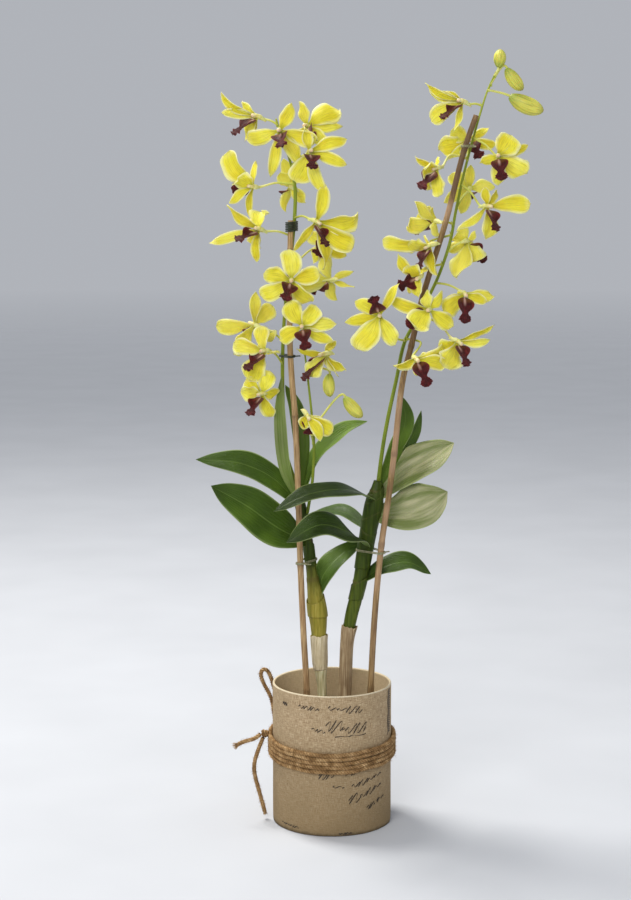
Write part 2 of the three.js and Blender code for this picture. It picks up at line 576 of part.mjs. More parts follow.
// The way from a bloom's gaze toward its lip, square to the gaze.
function lipSide(looks, lip) {
  const reach = vector(lip);
  return reach.addScaledVector(looks, -reach.dot(looks)).normalize();
}

function tepal(centre, looks, [x, y, z, width], margin) {
  const reach = new THREE.Vector3(x, y, z);
  const middle = centre.clone().addScaledVector(reach, 0.5);
  middle.addScaledVector(looks, TEPAL_BULGE * reach.length());
  const curve = new THREE.QuadraticBezierCurve3(centre.clone(), middle, centre.clone().add(reach));
  const outline = width >= PETAL_FROM_WIDTH ? PETAL_OUTLINE : SEPAL_OUTLINE;
  const side = Math.sign(looks.dot(front)) || 1;
  const face = looks.clone().addScaledVector(front, side * TURN_TO_LIGHT).normalize();
  return blade(curve, face, outline, width, TEPAL_THICKNESS, 0, margin);
}

// The pedicel, the spur, the hub that the tepals grow from, and the column, as one tapering stem.
function pedicelAndColumn(spike, { at, faces, from, via, lip }, margin) {
  const centre = vector(at);
  const looks = gaze(faces);
  const down = lipSide(looks, lip);
  const place = (spot) => (
    centre.clone().addScaledVector(looks, spot.ahead).addScaledVector(down, spot.down)
  );
  const foot = onSpike(spike, from);
  const spur = place(SPUR);
  const bend = via ? vector(via) : foot.clone().lerp(spur, 0.5);
  if (!via) bend.z += foot.distanceTo(spur) * PEDICEL_ARCH;
  const route = [
    [foot, PEDICEL_FOOT_RADIUS], [bend, PEDICEL_BEND_RADIUS], [spur, SPUR.radius],
    [centre, HUB_RADIUS], [place(COLUMN_TIP), COLUMN_TIP.radius],
  ];
  return stem(route.map(([point, radius]) => [...point.toArray(), radius]), PEDICEL_SIDES, margin);
}

function lipBlade({ at, faces, lip }, margin) {
  const centre = vector(at);
  const looks = gaze(faces);
  const down = lipSide(looks, lip);
  const start = centre.clone();
  start.addScaledVector(looks, LIP_START.ahead).addScaledVector(down, LIP_START.down);
  const end = centre.clone().add(vector(lip));
  const middle = start.clone().lerp(end, 0.5).addScaledVector(looks, LIP_ARCH);
  const curve = new THREE.QuadraticBezierCurve3(start, middle, end);
  const face = looks.clone().sub(down).normalize();
  return blade(curve, face, LIP_OUTLINE, LIP_WIDTH, LIP_THICKNESS, 0, margin);
}

function bud(spike, { foot, tip, width, from }, margin) {
  const along = (share) => vector(foot).lerp(vector(tip), share).toArray();
  const body = BUD_PROFILE.map(([share, girth]) => [...along(share), width * girth]);
  const stalk = [onSpike(spike, from).toArray(), along(-BUD_NECK), along(0.5)];
  const stalkStem = stem(stalk.map((point) => [...point, PEDICEL_FOOT_RADIUS]), PEDICEL_SIDES, margin);
  return [stem(body, BUD_SIDES, margin), stalkStem];
}

// Every piece of one spray but its lips, each grown by the margin.
function sprayPieces(spike, blooms, buds, margin = 0) {
  const pieces = [stem(spike, SPIKE_SIDES, margin)];
  for (const spec of blooms) {
    const looks = gaze(spec.faces);
    pieces.push(pedicelAndColumn(spike, spec, margin));
    for (const each of spec.tepals) pieces.push(tepal(vector(spec.at), looks, each, margin));
  }
  for (const spec of buds) pieces.push(...bud(spike, spec, margin));
  return pieces;
}

// Ties

// A flat band round two upright stems at one height.
function tie(height, first, second, margin = 0) {
  const a = new THREE.Vector2(first[0], first[1]);
  const b = new THREE.Vector2(second[0], second[1]);
  const bearing = Math.atan2(b.y - a.y, b.x - a.x);
  const corners = [];
  for (const [end, radius, turn] of [[b, second[2], 0], [a, first[2], Math.PI]]) {
    for (let k = 0; k <= TIE_CORNER_STEPS; k++) {
      const angle = bearing + turn - Math.PI / 2 + Math.PI * k / TIE_CORNER_STEPS;
      corners.push({ end, radius, direction: new THREE.Vector2(Math.cos(angle), Math.sin(angle)) });
    }
  }
  const outline = (extra) => new THREE.Shape(corners.map(({ end, radius, direction }) => (
    end.clone().addScaledVector(direction, radius + TIE_ROOM + extra)
  )));
  const band = outline(TIE_SECTION + margin);
  band.holes.push(new THREE.Path(outline(-margin).getPoints()));
  const depth = 2 * (TIE_SECTION + margin);
  const geometry = new THREE.ExtrudeGeometry(band, { depth, bevelEnabled: false });
  return geometry.translate(0, 0, height - depth / 2);
}

// Where a route passes a height, as x, y and the radius that a tie gives it.
function sectionAt(route, height, radius) {
  const centre = onSpike(route, height);
  return [centre.x, centre.y, radius];
}

// The assembly

const card = '#b3a283';
const jute = '#8f6b40';
const petalYellow = '#e6d83a';
const lipMaroon = '#5c1420';
const leafGreen = '#47662c';
const bamboo = '#b08a63';

addNode('pot', pot(), paint(card, 0.85));
addNode('nursery_pot', liner(), paint('#2b2b2b', 0.6));

const leftStake = stakePoints(LEFT_STAKE);
const rightStake = stakePoints(RIGHT_STAKE);
const footings = [
  [LEFT_CANE, CANE_SIDES], [RIGHT_CANE, CANE_SIDES], [leftStake, STAKE_SIDES], [rightStake, STAKE_SIDES],
];
addNode('growing_medium', medium(footings), paint('#5a4330', 0.95));

addNode('twine_wraps', twineWraps(), paint(jute, 0.9));
addNode('twine_knot', twineKnot(), paint(jute, 0.9));
addNode('twine_bow_loop', cord(BOW_LOOP, LOOP_DIAMETER), paint(jute, 0.9));
addNode('twine_tail_short', cord(SHORT_TAIL, TAIL_DIAMETER), paint(jute, 0.9));
addNode('twine_tail_long', cord(LONG_TAIL, TAIL_DIAMETER), paint(jute, 0.9));

addNode('stake_left', stem(leftStake, STAKE_SIDES), paint(bamboo, 0.6));
addNode('stake_right', stem(rightStake, STAKE_SIDES), paint(bamboo, 0.6));

addNode('cane_left', toGeometry(leafyCane(LEFT_CANE, LEFT_LEAVES)), paint(leafGreen, 0.4));
addNode('cane_right', toGeometry(leafyCane(RIGHT_CANE, RIGHT_LEAVES)), paint(leafGreen, 0.4));
addNode('sheath_left', sheath(LEFT_CANE, LEFT_SHEATH), paint('#d9d3b4', 0.8));
addNode('sheath_right', sheath(RIGHT_CANE, RIGHT_SHEATH), paint('#94785a', 0.8));

const sprays = [
  { name: 'left', spike: LEFT_SPIKE, blooms: LEFT_BLOOMS, buds: [] },
  { name: 'side', spike: SIDE_SPIKE, blooms: SIDE_BLOOMS, buds: SIDE_BUDS },
  { name: 'right', spike: RIGHT_SPIKE, blooms: RIGHT_BLOOMS, buds: RIGHT_BUDS },
];

// Name, height, and the stake and stem that it holds together
const ties = [
  ['tie_left_low', 262, sectionAt(LEFT_STAKE, 262, STAKE_KNUCKLE), sectionAt(LEFT_CANE, 262, 5.6)],
  ['tie_left_mid', 464, sectionAt(LEFT_STAKE, 464, STAKE_KNUCKLE), sectionAt(LEFT_SPIKE, 464, 2)],
  ['tie_left_top', 588, sectionAt(LEFT_STAKE, 588, STAKE_KNUCKLE), sectionAt(LEFT_SPIKE, 588, 2.2)],
  ['tie_right_low', 272, sectionAt(RIGHT_STAKE, 272, STAKE_KNUCKLE), sectionAt(RIGHT_CANE, 272, 7.6)],
  ['tie_right_mid', 508, sectionAt(RIGHT_STAKE, 508, STAKE_KNUCKLE), sectionAt(RIGHT_SPIKE, 508, 2)],
  ['tie_right_top', 664, sectionAt(RIGHT_STAKE, 664, STAKE_KNUCKLE), sectionAt(RIGHT_SPIKE, 664, 1.6)],
];
for (const [name, height, first, second] of ties) {
  addNode(name, tie(height, first, second), paint('#3a4a2a', 0.7));
}

// What stands first keeps its shape, and each later piece gives way to the ones before it.
const tieRooms = ties.map(([, height, first, second]) => tie(height, first, second, CLEARANCE));
const stakeRooms = [leftStake, rightStake].map((points) => stem(points, STAKE_SIDES, CLEARANCE));
let taken = joinAll([...tieRooms, ...stakeRooms]);
for (const spray of sprays) {
  spray.blooms.forEach((spec, i) => {
    const lip = largestBody(toSolid(lipBlade(spec, 0)).subtract(taken));
    const number = String(i + 1).padStart(2, '0');
    addNode(`lip_${spray.name}_${number}`, toGeometry(lip), paint(lipMaroon, 0.6));
    taken = taken.add(toSolid(lipBlade(spec, 1.5 * CLEARANCE)));
  });
}
for (const spray of sprays) {
  const solid = joinAll(sprayPieces(spray.spike, spray.blooms, spray.buds)).subtract(taken);
  addNode(`spray_${spray.name}`, toGeometry(largestBody(solid)), paint(petalYellow, 0.55));
  taken = taken.add(joinAll(sprayPieces(spray.spike, spray.blooms, spray.buds, CLEARANCE)));
}

export default orchid;
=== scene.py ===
# A potted yellow orchid with maroon lips, in a paper-covered pot tied with twine.
# Routes and sizes are in millimetres, as in the model, and become metres in each mesh.

import math
import random

import bpy
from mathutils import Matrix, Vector, noise


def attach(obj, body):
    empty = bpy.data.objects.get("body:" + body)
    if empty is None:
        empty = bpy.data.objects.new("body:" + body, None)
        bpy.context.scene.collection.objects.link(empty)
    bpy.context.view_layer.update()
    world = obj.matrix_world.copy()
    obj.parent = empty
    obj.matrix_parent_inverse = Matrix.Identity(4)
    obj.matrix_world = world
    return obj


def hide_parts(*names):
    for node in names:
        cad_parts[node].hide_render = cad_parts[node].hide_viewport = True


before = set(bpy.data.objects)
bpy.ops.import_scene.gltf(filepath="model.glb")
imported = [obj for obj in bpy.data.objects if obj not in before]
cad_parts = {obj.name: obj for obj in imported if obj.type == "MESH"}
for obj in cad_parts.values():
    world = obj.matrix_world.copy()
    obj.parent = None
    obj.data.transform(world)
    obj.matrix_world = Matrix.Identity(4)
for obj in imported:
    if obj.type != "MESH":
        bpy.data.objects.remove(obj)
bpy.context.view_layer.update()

MM = 0.001
TURN = 2 * math.pi
UP = Vector((0, 0, 1))
FRONT = Vector((0, -1, 0))
ORIGIN = Vector((0, 0, 0))
BODY = "root"


# Camera, at the photograph's place and angle

IMAGE_HEIGHT = 900              # of the photograph's frame, in pixels
FOCAL_LENGTH = 2000             # in the same pixels
SENSOR = 36
CAMERA_PLACE = (-16.3, -1929, 648)
CAMERA_TILT = 8.16              # degrees below level


def make_camera():
    data = bpy.data.cameras.new("camera")
    data.sensor_width = SENSOR
    data.lens = SENSOR * FOCAL_LENGTH / IMAGE_HEIGHT
    data.clip_start = 0.05
    data.clip_end = 40
    camera = bpy.data.objects.new("camera", data)
    camera.location = Vector(CAMERA_PLACE) * MM
    camera.rotation_euler = (math.radians(90 - CAMERA_TILT), 0, 0)
    bpy.context.collection.objects.link(camera)
    bpy.context.scene.camera = camera
    bpy.context.scene.view_settings.view_transform = "Standard"


# Sizes and routes, repeated from the model

POT_RADIUS = 59
POT_HEIGHT = 140
POT_WALL = 2.4
POT_FLOOR = 3
LINER_FOOT_RADIUS = 45
LINER_RIM_RADIUS = 52
LINER_FOOT = 3.3
LINER_HEIGHT = 102
LINER_WALL = 1.4
MEDIUM_TOP = 100
MEDIUM_DOME = 3
MEDIUM_FLAT_RADIUS = 27
TWINE_HEIGHT = 79
TWINE_SAG = 5
KNOT = (-66.5, -4, 88)
STAKE_RADIUS = 3
STAKE_KNUCKLE = 3.5
COLUMN_TIP = dict(ahead=8, down=-1.5)
SPUR = dict(ahead=-7, down=3)
LIP_START = dict(ahead=3, down=3.2)
LIP_ARCH = 4
LIP_WIDTH = 15
TEPAL_BULGE = 0.14
TURN_TO_LIGHT = 0.6
PEDICEL_ARCH = 0.08
PETAL_FROM_WIDTH = 13

# Free ends of the twine

LONG_TAIL = [
    (-68.3, -4, 83.7), (-70, -4, 79.5), (-71.6, -4, 75.5), (-73.2, -4, 71), (-74.8, -4, 66.5),
    (-76.2, -4, 62), (-77.2, -4, 57), (-77.5, -4, 52), (-77, -4, 47), (-76, -4, 42), (-74.8, -4, 37),
    (-73.4, -4, 32), (-72.1, -4, 27), (-70.8, -4, 22), (-69.4, -4, 17), (-68.1, -4, 12), (-67, -4, 7.5),
]
SHORT_TAIL = [
    (-71, -5, 87.2), (-72.4, -5.4, 86.2), (-73.9, -5.8, 84.9), (-75.5, -6, 83.7), (-77.2, -6, 82.8),
    (-79, -6, 82.2), (-80.8, -6, 81.7), (-82.6, -6, 81.4), (-84.4, -6, 81), (-86.2, -6, 80.5),
    (-87.8, -6, 79.9), (-89.4, -6, 79.2), (-91, -6, 78.4), (-92.4, -6, 77.6), (-93.8, -6, 76.8),
]
BOW_LOOP = [
    (-57.3, 25.3, 91.4), (-57.6, 25, 96), (-58.2, 24.4, 102), (-59, 23.4, 108), (-60, 22, 114),
    (-61.8, 20, 120), (-64.4, 18, 126), (-67.4, 16, 132), (-69.8, 14.4, 138), (-71, 13.4, 143.4),
    (-70.4, 13, 147.8), (-67.8, 13.4, 149.6), (-65, 14.6, 148), (-62.8, 16.8, 144), (-61, 19.6, 139),
    (-59.6, 22.8, 133), (-58.2, 26, 127), (-56.8, 28.8, 121), (-55.6, 31, 115), (-54.8, 32.6, 109),
    (-54.2, 33.8, 103), (-53.6, 34.8, 98), (-53.4, 35.2, 92),
]

# Canes and spikes: x, y, z and radius. Stakes: x, y, z.

LEFT_CANE = [
    (-9, 4, 72, 5), (-10, 5, 130, 5), (-11, 5, 148, 5.4), (-12, 5, 158, 6.9), (-13, 5, 186, 7.6),
    (-14, 5, 205, 9.4), (-16, 5, 222, 8.6), (-20, 5, 248, 5.6), (-24, 5, 280, 5.2), (-30, 5, 311, 5),
    (-36, 4, 334, 4),
]
RIGHT_CANE = [
    (11, 4, 72, 5.2), (13, 5, 130, 5.2), (15, 5, 180, 5.4), (18, 5, 200, 6.4), (23, 5, 221, 6.8),
    (27, 5, 238, 7), (31, 5, 262, 7.4), (35, 5, 286, 7.8), (41, 5, 318, 8.4), (45, 5, 340, 4.6),
]
LEFT_SHEATH = dict(low=151, high=187, ease=1.3)
RIGHT_SHEATH = dict(low=104, high=196, ease=1.6)
LEFT_STAKE = [
    (-24, -15, 36), (-25, -15, 133), (-28, -15, 190), (-31, -15, 260), (-33, -14, 330), (-36, -12, 406),
    (-39, -11, 442), (-41, -10, 480), (-41, -9, 518), (-40.5, -9, 566), (-40, -9, 594),
]
RIGHT_STAKE = [
    (36, -12, 38), (38, -12, 134), (42, -12, 214), (48, -12, 280), (55, -12, 329), (60, -11, 369),
    (68, -10, 441), (76, -9, 474), (86, -9, 519), (94, -9, 547), (108, -9, 593), (125, -9, 661),
    (136, -9, 693),
]
LEFT_SPIKE = [
    (-36.1, 4, 334.4, 2.2), (-38, 2.5, 344, 2.2), (-46, 0, 372, 2.2), (-48, 0, 420, 2.1), (-48, 0, 469, 2),
    (-45, 0, 517, 1.9), (-39, 0, 567, 2), (-36, 0, 603, 2.2), (-36, 0, 626, 2), (-40, 0, 648, 1.6),
    (-48, 0, 672, 1.4), (-54, 0, 690, 1.1),
]
SIDE_SPIKE = [
    (-24.2, 0.2, 309, 1.7), (-19, -6, 345, 1.6), (-18, -8, 384, 1.5), (-20, -8, 408, 1.4),
    (-23, -8, 436, 1.3), (-26, -10, 462, 1.1), (-30, -16, 484, 1),
]
RIGHT_SPIKE = [
    (45.3, 2.9, 340.7, 2.2), (49, 1, 372, 2.1), (54, 0, 402, 2.1), (62, 0, 440, 2), (70, 0, 477, 2),
    (81, 0, 498, 1.9), (92, 0, 519, 1.9), (103, 0, 543, 1.8), (113, 0, 574, 1.8), (118, 0, 602, 1.7),
    (124, 0, 632, 1.6), (132, 0, 664, 1.5), (139, 0, 690, 1.4), (147, 0, 716, 1.2), (155, 0, 734, 1),
]

# Blooms. at: the centre; faces: bearing and rise of the gaze; leaves: the height at which the
# pedicel leaves the spike; via: what it bends round by; lip: its tip; tepals: tip and full width.

LEFT_BLOOMS = [
    dict(at=(-71, -5, 692), faces=(-55, -5), leaves=684, lip=(-24, -13, -17),
         tepals=((-38, -6, 18, 8), (-19, 22, 13, 10), (-34, -2, 2, 9), (-14, 6, -23, 12), (-4, 18, -20, 9))),
    dict(at=(-50, -25, 679), faces=(-5, -15), leaves=662, lip=(2, -19, -16),
         tepals=((14, -4, 24, 12), (-32, 6, -11, 14), (-9, 8, -44, 10), (20, 8, -32, 12), (34, 6, -9, 13))),
    dict(at=(-24, -5, 683), faces=(-20, -5), leaves=668, lip=(6, -18, -12),
         tepals=((-6, 4, 23, 10), (31, 8, 19, 18), (35, 12, 2, 10), (19, -3, -18, 12), (-15, -5, -21, 10))),
    dict(at=(-22, -30, 659), faces=(15, -5), leaves=645, lip=(3, -17, -16),
         tepals=((36, 2, 11, 11), (36, 3, -13, 10), (13, 4, -40, 11), (-12, 2, -30, 20), (-4, 8, 24, 10))),
    dict(at=(-75, -10, 626), faces=(-60, 0), leaves=628, lip=(-21, 4, -3),
         tepals=((-26, -8, 32, 20), (2, 12, 25, 6), (-21, -12, -16, 8), (-4, 14, -31, 7), (-15, -14, 8, 18))),
    dict(at=(-40, 10, 626), faces=(-140, 0), leaves=612, lip=(-6, 14, -11),
         tepals=((-10, -4, 14, 12), (-6, 12, 26, 10), (-8, 14, -24, 9), (14, -2, 18, 14), (14, 0, -16, 10))),
    dict(at=(-69, -15, 586), faces=(-50, -5), leaves=578, lip=(-23, -15, -10),
         tepals=((1, 10, 17, 17), (-31, -4, 23, 11), (-47, 2, -15, 9), (-3, 4, -33, 8), (-6, 14, -18, 13))),
    dict(at=(-16, -33, 594), faces=(38, -34), leaves=596, lip=(10, -15, -23),
         tepals=((8, 4, 36, 12), (43, 8, 1, 18), (35, 6, -25, 17), (-22, -2, -26, 9), (13, 2, -45, 12))),
    dict(at=(-6, 10, 573), faces=(-20, -20), leaves=546, lip=(-10, -13, -12),
         tepals=((-19, 4, 8, 12), (14, 8, 20, 12), (20, 8, -14, 12), (-12, 6, -22, 10), (3, 2, -30, 11))),
    dict(at=(-1, -10, 537), faces=(-120, -20), leaves=520, lip=(-21, 2, -10),
         tepals=((-28, -12, 2, 21), (21, 2, 9, 6), (22, -4, -7, 6), (-6, 12, 24, 12), (4, 10, -20, 12))),
    dict(at=(-39, -35, 539), faces=(-5, -20), leaves=526, via=(-49, -14, 529), lip=(-6, -19, -18),
         tepals=((-1, -6, 29, 17), (-26, -2, 6, 14), (-31, 2, -16, 14), (19, 4, -22, 14), (26, 2, 6, 14))),
    dict(at=(-74, -8, 494), faces=(-110, 5), leaves=478, lip=(-12, 9, -11),
         tepals=((-38, 0, -2, 13), (0, 4, 32, 11), (16, 8, 18, 15), (-21, -14, -27, 18), (15, -2, -17, 17))),
    dict(at=(-64, -27, 471), faces=(-45, -15), leaves=455, lip=(-19, -15, -17),
         tepals=((-16, -2, -29, 20), (12, 14, -5, 12), (-31, -4, 7, 14), (-4, -2, 24, 13), (-8, 18, 15, 14))),
    dict(at=(-67, -27, 430), faces=(-40, -20), leaves=426, lip=(-13, -14, -20),
         tepals=((-20, -6, 5, 15), (7, -2, 22, 14), (17, 12, 1, 10), (10, 6, -25, 12), (-15, 6, 13, 13))),
]
SIDE_BLOOMS = [
    dict(at=(-29, -45, 496), faces=(0, -15), leaves=483, lip=(4, -17, -21),
         tepals=((-13, -4, 24, 16), (14, -4, 19, 15), (33, 3, 3, 12), (29, 4, -15, 10), (-22, 4, -14, 13))),
    dict(at=(-7, -14, 467), faces=(-62, -24), leaves=444, lip=(-22, -8, -25),
         tepals=((20, 8, -16, 13), (-28, -2, 2, 8), (-16, -6, -21, 15), (11, 6, 12, 7), (14, 12, -23, 9))),
    dict(at=(-25, -14, 408), faces=(30, -50), leaves=380, lip=(2, -4, -19),
         tepals=((25, -7, -17, 13), (15, -12, -22, 10), (-4, -8, -12, 11), (19, 4, -8, 10), (8, 4, -21, 10))),
]
RIGHT_BLOOMS = [
    dict(at=(124, -5, 706), faces=(-55, -5), leaves=702, lip=(-22, -13, -16),
         tepals=((-37, -6, 17, 7), (-35, 4, 9, 10), (-16, 8, 10, 8), (-31, 0, -19, 14), (-6, 8, -28, 7))),
    dict(at=(131, 22, 670), faces=(15, -10), leaves=652, lip=(11, -13, -17),
         tepals=((-17, -2, 9, 14), (-28, 4, -8, 18), (-20, 6, -19, 9), (20, 4, 13, 7), (29, 4, -5, 9))),
    dict(at=(156, -20, 655), faces=(0, -10), leaves=672, lip=(3, -15, -23),
         tepals=((12, -3, 19, 21), (31, 4, 9, 9), (28, 3, -19, 18), (-17, 2, -7, 10), (1, 6, -29, 12))),
    dict(at=(99, -18, 644), faces=(-50, -25), leaves=652, via=(113, -1, 656), lip=(-17, -6, -20),
         tepals=((-22, -6, 10, 7), (0, 8, 10, 8), (2, -4, -27, 13), (-15, -14, 0, 14), (-8, 12, -21, 9))),
    dict(at=(133, 20, 624), faces=(175, -10), leaves=606, lip=(0, 17, -9),
         tepals=((24, 0, 3, 12), (-9, 3, -25, 10), (-25, 2, -14, 10), (0, 0, 22, 9), (-20, 3, 12, 14))),
    dict(at=(146, -18, 608), faces=(40, -20), leaves=628, lip=(9, -12, -24),
         tepals=((41, -6, 2, 15), (2, -4, -32, 15), (-27, -6, -21, 7), (-2, 2, 18, 8), (11, 18, 15, 8))),
    dict(at=(99, 4, 593), faces=(-125, -10), leaves=590, lip=(-22, 6, -10),
         tepals=((-19, -8, 19, 11), (-29, -8, -4, 13), (1, -10, -15, 10), (-2, 10, 13, 9), (-14, 4, 10, 17))),
    dict(at=(93, -20, 571), faces=(-60, -35), leaves=580, via=(94, -2, 574), lip=(-13, -7, -23),
         tepals=((-46, -10, 2, 14), (-21, -12, 0, 15), (7, -2, -28, 12), (-6, 12, 8, 8), (-9, 16, -17, 10))),
    dict(at=(83, -24, 541), faces=(-45, -20), leaves=552, via=(88, -2, 548), lip=(-21, -7, -9),
         tepals=((-24, -2, 20, 11), (-12, -14, 9, 14), (-3, -6, -19, 11), (6, 13, 8, 10), (-9, 14, -15, 8))),
    dict(at=(130, 8, 574), faces=(135, -20), leaves=562, lip=(18, 11, -21),
         tepals=((-12, -8, 10, 17), (-12, -10, -34, 18), (9, -2, -20, 17), (7, -6, 10, 7),
                 (-20, 2, -10, 10))),
    dict(at=(44, -45, 506), faces=(-5, 10), leaves=478, via=(58, -20, 484), lip=(-7, -14, 19),
         tepals=((-24, -2, 14, 12), (-32, 2, -7, 10), (-20, -3, -32, 19), (15, 0, -28, 13), (17, 4, 32, 8))),
    dict(at=(92, -34, 511), faces=(-30, -15), leaves=520, via=(96, -8, 520), lip=(-22, -6, -16),
         tepals=((-15, -21, -17, 20), (-40, -2, 10, 11), (23, 8, -17, 14), (15, 4, 15, 9), (-6, 2, 18, 12))),
    dict(at=(126, -16, 525), faces=(10, -30), leaves=534, lip=(0, -12, -28),
         tepals=((-20, -5, -18, 16), (30, 6, -2, 11), (21, 2, -9, 9), (-20, 4, -11, 11), (-8, 2, -3, 9))),
    dict(at=(119, -22, 480), faces=(45, -38), leaves=504, via=(104, -8, 494), lip=(10, -8, -24),
         tepals=((35, 4, 16, 7), (32, -5, 0, 8), (-11, -6, -26, 22), (-18, 0, -8, 14), (-19, 6, -20, 12))),
    dict(at=(79, -30, 464), faces=(25, -30), leaves=480, via=(85, -5, 477), lip=(12, -11, -26),
         tepals=((-21, 2, -8, 11), (2, 4, -17, 8), (34, 6, 8, 16), (30, 2, -7, 13), (16, 10, 0, 10))),
]

SIDE_BUDS = [
    dict(foot=(-3, -2, 446), tip=(-2, -4, 424), width=12, leaves=454),
    dict(foot=(12, -6, 424), tip=(29, -10, 405), width=13, leaves=394),
]
RIGHT_BUDS = [
    dict(foot=(157, 0, 738), tip=(158, 0, 755), width=12, leaves=730),
    dict(foot=(165, 2, 737), tip=(181, 3, 717), width=13, leaves=722),
    dict(foot=(168, -3, 711), tip=(200, -5, 697), width=17, leaves=717),
]

# Leaves: midrib, full width, the way the upper face looks, how deep the blade folds, and tone, painted sheen
# above 1

LEFT_LEAVES = [
    dict(rib=((-32, 4, 316), (-59, -8, 345), (-90, -14, 360), (-132, -20, 365)),
         width=29, face=(0.1, -0.75, 0.65), fold=0.3),
    dict(rib=((-26, 4, 280), (-50, -12, 296), (-82, -24, 321), (-117, -30, 341)),
         width=43, face=(0.1, -0.85, 0.5), fold=0.25),
    dict(rib=((-15, 4, 222), (-8, 12, 246), (8, 22, 263), (31, 32, 276)),
         width=26, face=(-0.5, -0.7, 0.5), fold=0.3),
    dict(rib=((-30, 6, 322), (-12, 12, 362), (13, 17, 385), (35, 22, 397)),
         width=28, face=(-0.6, -0.4, 0.7), fold=0.6, tone=0.9),
    dict(rib=((-34, 1, 322), (-45, -10, 354), (-50, -12, 402), (-49, -10, 446)),
         width=13, face=(-0.3, -0.9, 0.1), fold=0.3, tone=1.2),
    dict(rib=((-32, 7, 326), (-30, 13, 368), (-35, 14, 409), (-46, 13, 434)),
         width=18, face=(0.5, -0.85, 0), fold=0.3, tone=1.05),
]
RIGHT_LEAVES = [
    dict(rib=((41, 2, 322), (13, -34, 337), (-22, -50, 335), (-56, -55, 320)),
         width=29, face=(0, -0.4, 0.9), fold=0.25, tone=-0.5),
    dict(rib=((34, 2, 276), (14, -40, 297), (-12, -55, 306), (-44, -60, 291)),
         width=35, face=(0, -0.6, 0.8), fold=0.25, tone=-0.35),
    dict(rib=((36, 8, 291), (13, 36, 302), (-7, 47, 301), (-27, 52, 292)),
         width=25, face=(0, -0.3, 0.95), fold=0.3),
    dict(rib=((43, 8, 330), (61, 14, 370), (71, 15, 399), (67, 14, 424)),
         width=21, face=(0.6, -0.8, 0), fold=0.3, tone=0.95),
    dict(rib=((43, 9, 328), (71, 22, 366), (82, 26, 388), (88, 28, 407)),
         width=13, face=(0.7, -0.7, 0), fold=0.4),
    dict(rib=((42, 7, 322), (72, 13, 347), (98, 16, 362), (120, 18, 376)),
         width=38, face=(-0.2, -0.8, 0.55), fold=0.4, tone=1.6),
    dict(rib=((41, 5, 306), (70, 4, 308), (95, 4, 318), (113, 2, 330)),
         width=44, face=(0.1, -0.9, 0.4), fold=0.25, tone=1.6),
    dict(rib=((29, 5, 240), (52, 6, 254), (75, 8, 258), (98, 10, 246)),
         width=26, face=(0, -0.5, 0.85), fold=0.35),
]

SPRAYS = [
    ("left", LEFT_SPIKE, LEFT_BLOOMS, []),
    ("side", SIDE_SPIKE, SIDE_BLOOMS, SIDE_BUDS),
    ("right", RIGHT_SPIKE, RIGHT_BLOOMS, RIGHT_BUDS),
]

# Ties: name, height, the two routes that each holds, and the second one's radius
TIES = [
    ("tie_left_low", 262, LEFT_STAKE, LEFT_CANE, 5.6),
    ("tie_left_mid", 464, LEFT_STAKE, LEFT_SPIKE, 2),
    ("tie_left_top", 588, LEFT_STAKE, LEFT_SPIKE, 2.2),
    ("tie_right_low", 272, RIGHT_STAKE, RIGHT_CANE, 7.6),
    ("tie_right_mid", 508, RIGHT_STAKE, RIGHT_SPIKE, 2),
    ("tie_right_top", 664, RIGHT_STAKE, RIGHT_SPIKE, 1.6),
]
TIE_ROOM = 0.8


# Lines

class Route:
    """A smooth line through points, by the same rule as the model's routes."""

    def __init__(self, points):
        self.points = [Vector(point[:3]) for point in points]
        self.last = len(points) - 1

    def at(self, share):
        place = min(max(share, 0), 1) * self.last
        i = min(int(place), self.last - 1)
        t = place - i
        here, there = self.points[i], self.points[i + 1]
        before = self.points[i - 1] if i > 0 else here * 2 - there
        after = self.points[i + 2] if i + 2 <= self.last else there * 2 - here
        a = math.sqrt((here - before).length)
        b = math.sqrt((there - here).length)
        c = math.sqrt((after - there).length)
        leave = ((here - before) / a - (there - before) / (a + b)) * b + (there - here)
        arrive = (there - here) - ((after - here) / (b + c) - (after - there) / c) * b
        bend = (there - here) * 3 - leave * 2 - arrive
        ease = (here - there) * 2 + leave + arrive
        return here + leave * t + bend * t * t + ease * t * t * t

    def line(self, count):
        return [self.at(i / count) for i in range(count + 1)]

    def even_line(self, step):
        """Points along the route at about one step from each other."""
        fine = self.line(self.last * 24)
        length = length_of(fine)
        count = max(2, round(length / step))
        points, walked, k = [fine[0]], 0.0, 0
        for i in range(1, count):
            goal = length * i / count
            while walked + (fine[k + 1] - fine[k]).length < goal:
                walked += (fine[k + 1] - fine[k]).length
                k += 1
            piece = fine[k + 1] - fine[k]
            points.append(fine[k] + piece * ((goal - walked) / piece.length))
        return points + [fine[-1]]


def length_of(path):
    return sum((b - a).length for a, b in zip(path, path[1:]))


def lerp(a, b, share):
    return a + (b - a) * share


def smooth(stops, place):
    """A smooth value through stops of (place, value)."""
    last = len(stops) - 1
    i = 0
    while i < last - 1 and stops[i + 1][0] < place:
        i += 1
    slopes = []
    for k in (i, i + 1):
        low, high = stops[max(k - 1, 0)], stops[min(k + 1, last)]
        slopes.append((high[1] - low[1]) / (high[0] - low[0]))
    width = stops[i + 1][0] - stops[i][0]
    t = min(max((place - stops[i][0]) / width, 0), 1)
    start, end = stops[i][1], stops[i + 1][1]
    rise = slopes[0] * width * (t ** 3 - 2 * t * t + t) + slopes[1] * width * (t ** 3 - t * t)
    return start * (2 * t ** 3 - 3 * t * t + 1) + end * (3 * t * t - 2 * t ** 3) + rise


def route_radius(points, share):
    """The radius along a route of x, y, z and radius."""
    return smooth([(i / (len(points) - 1), point[3]) for i, point in enumerate(points)], share)


def bezier(start, middle, end, t):
    return start * (1 - t) ** 2 + middle * (2 * t * (1 - t)) + end * t * t


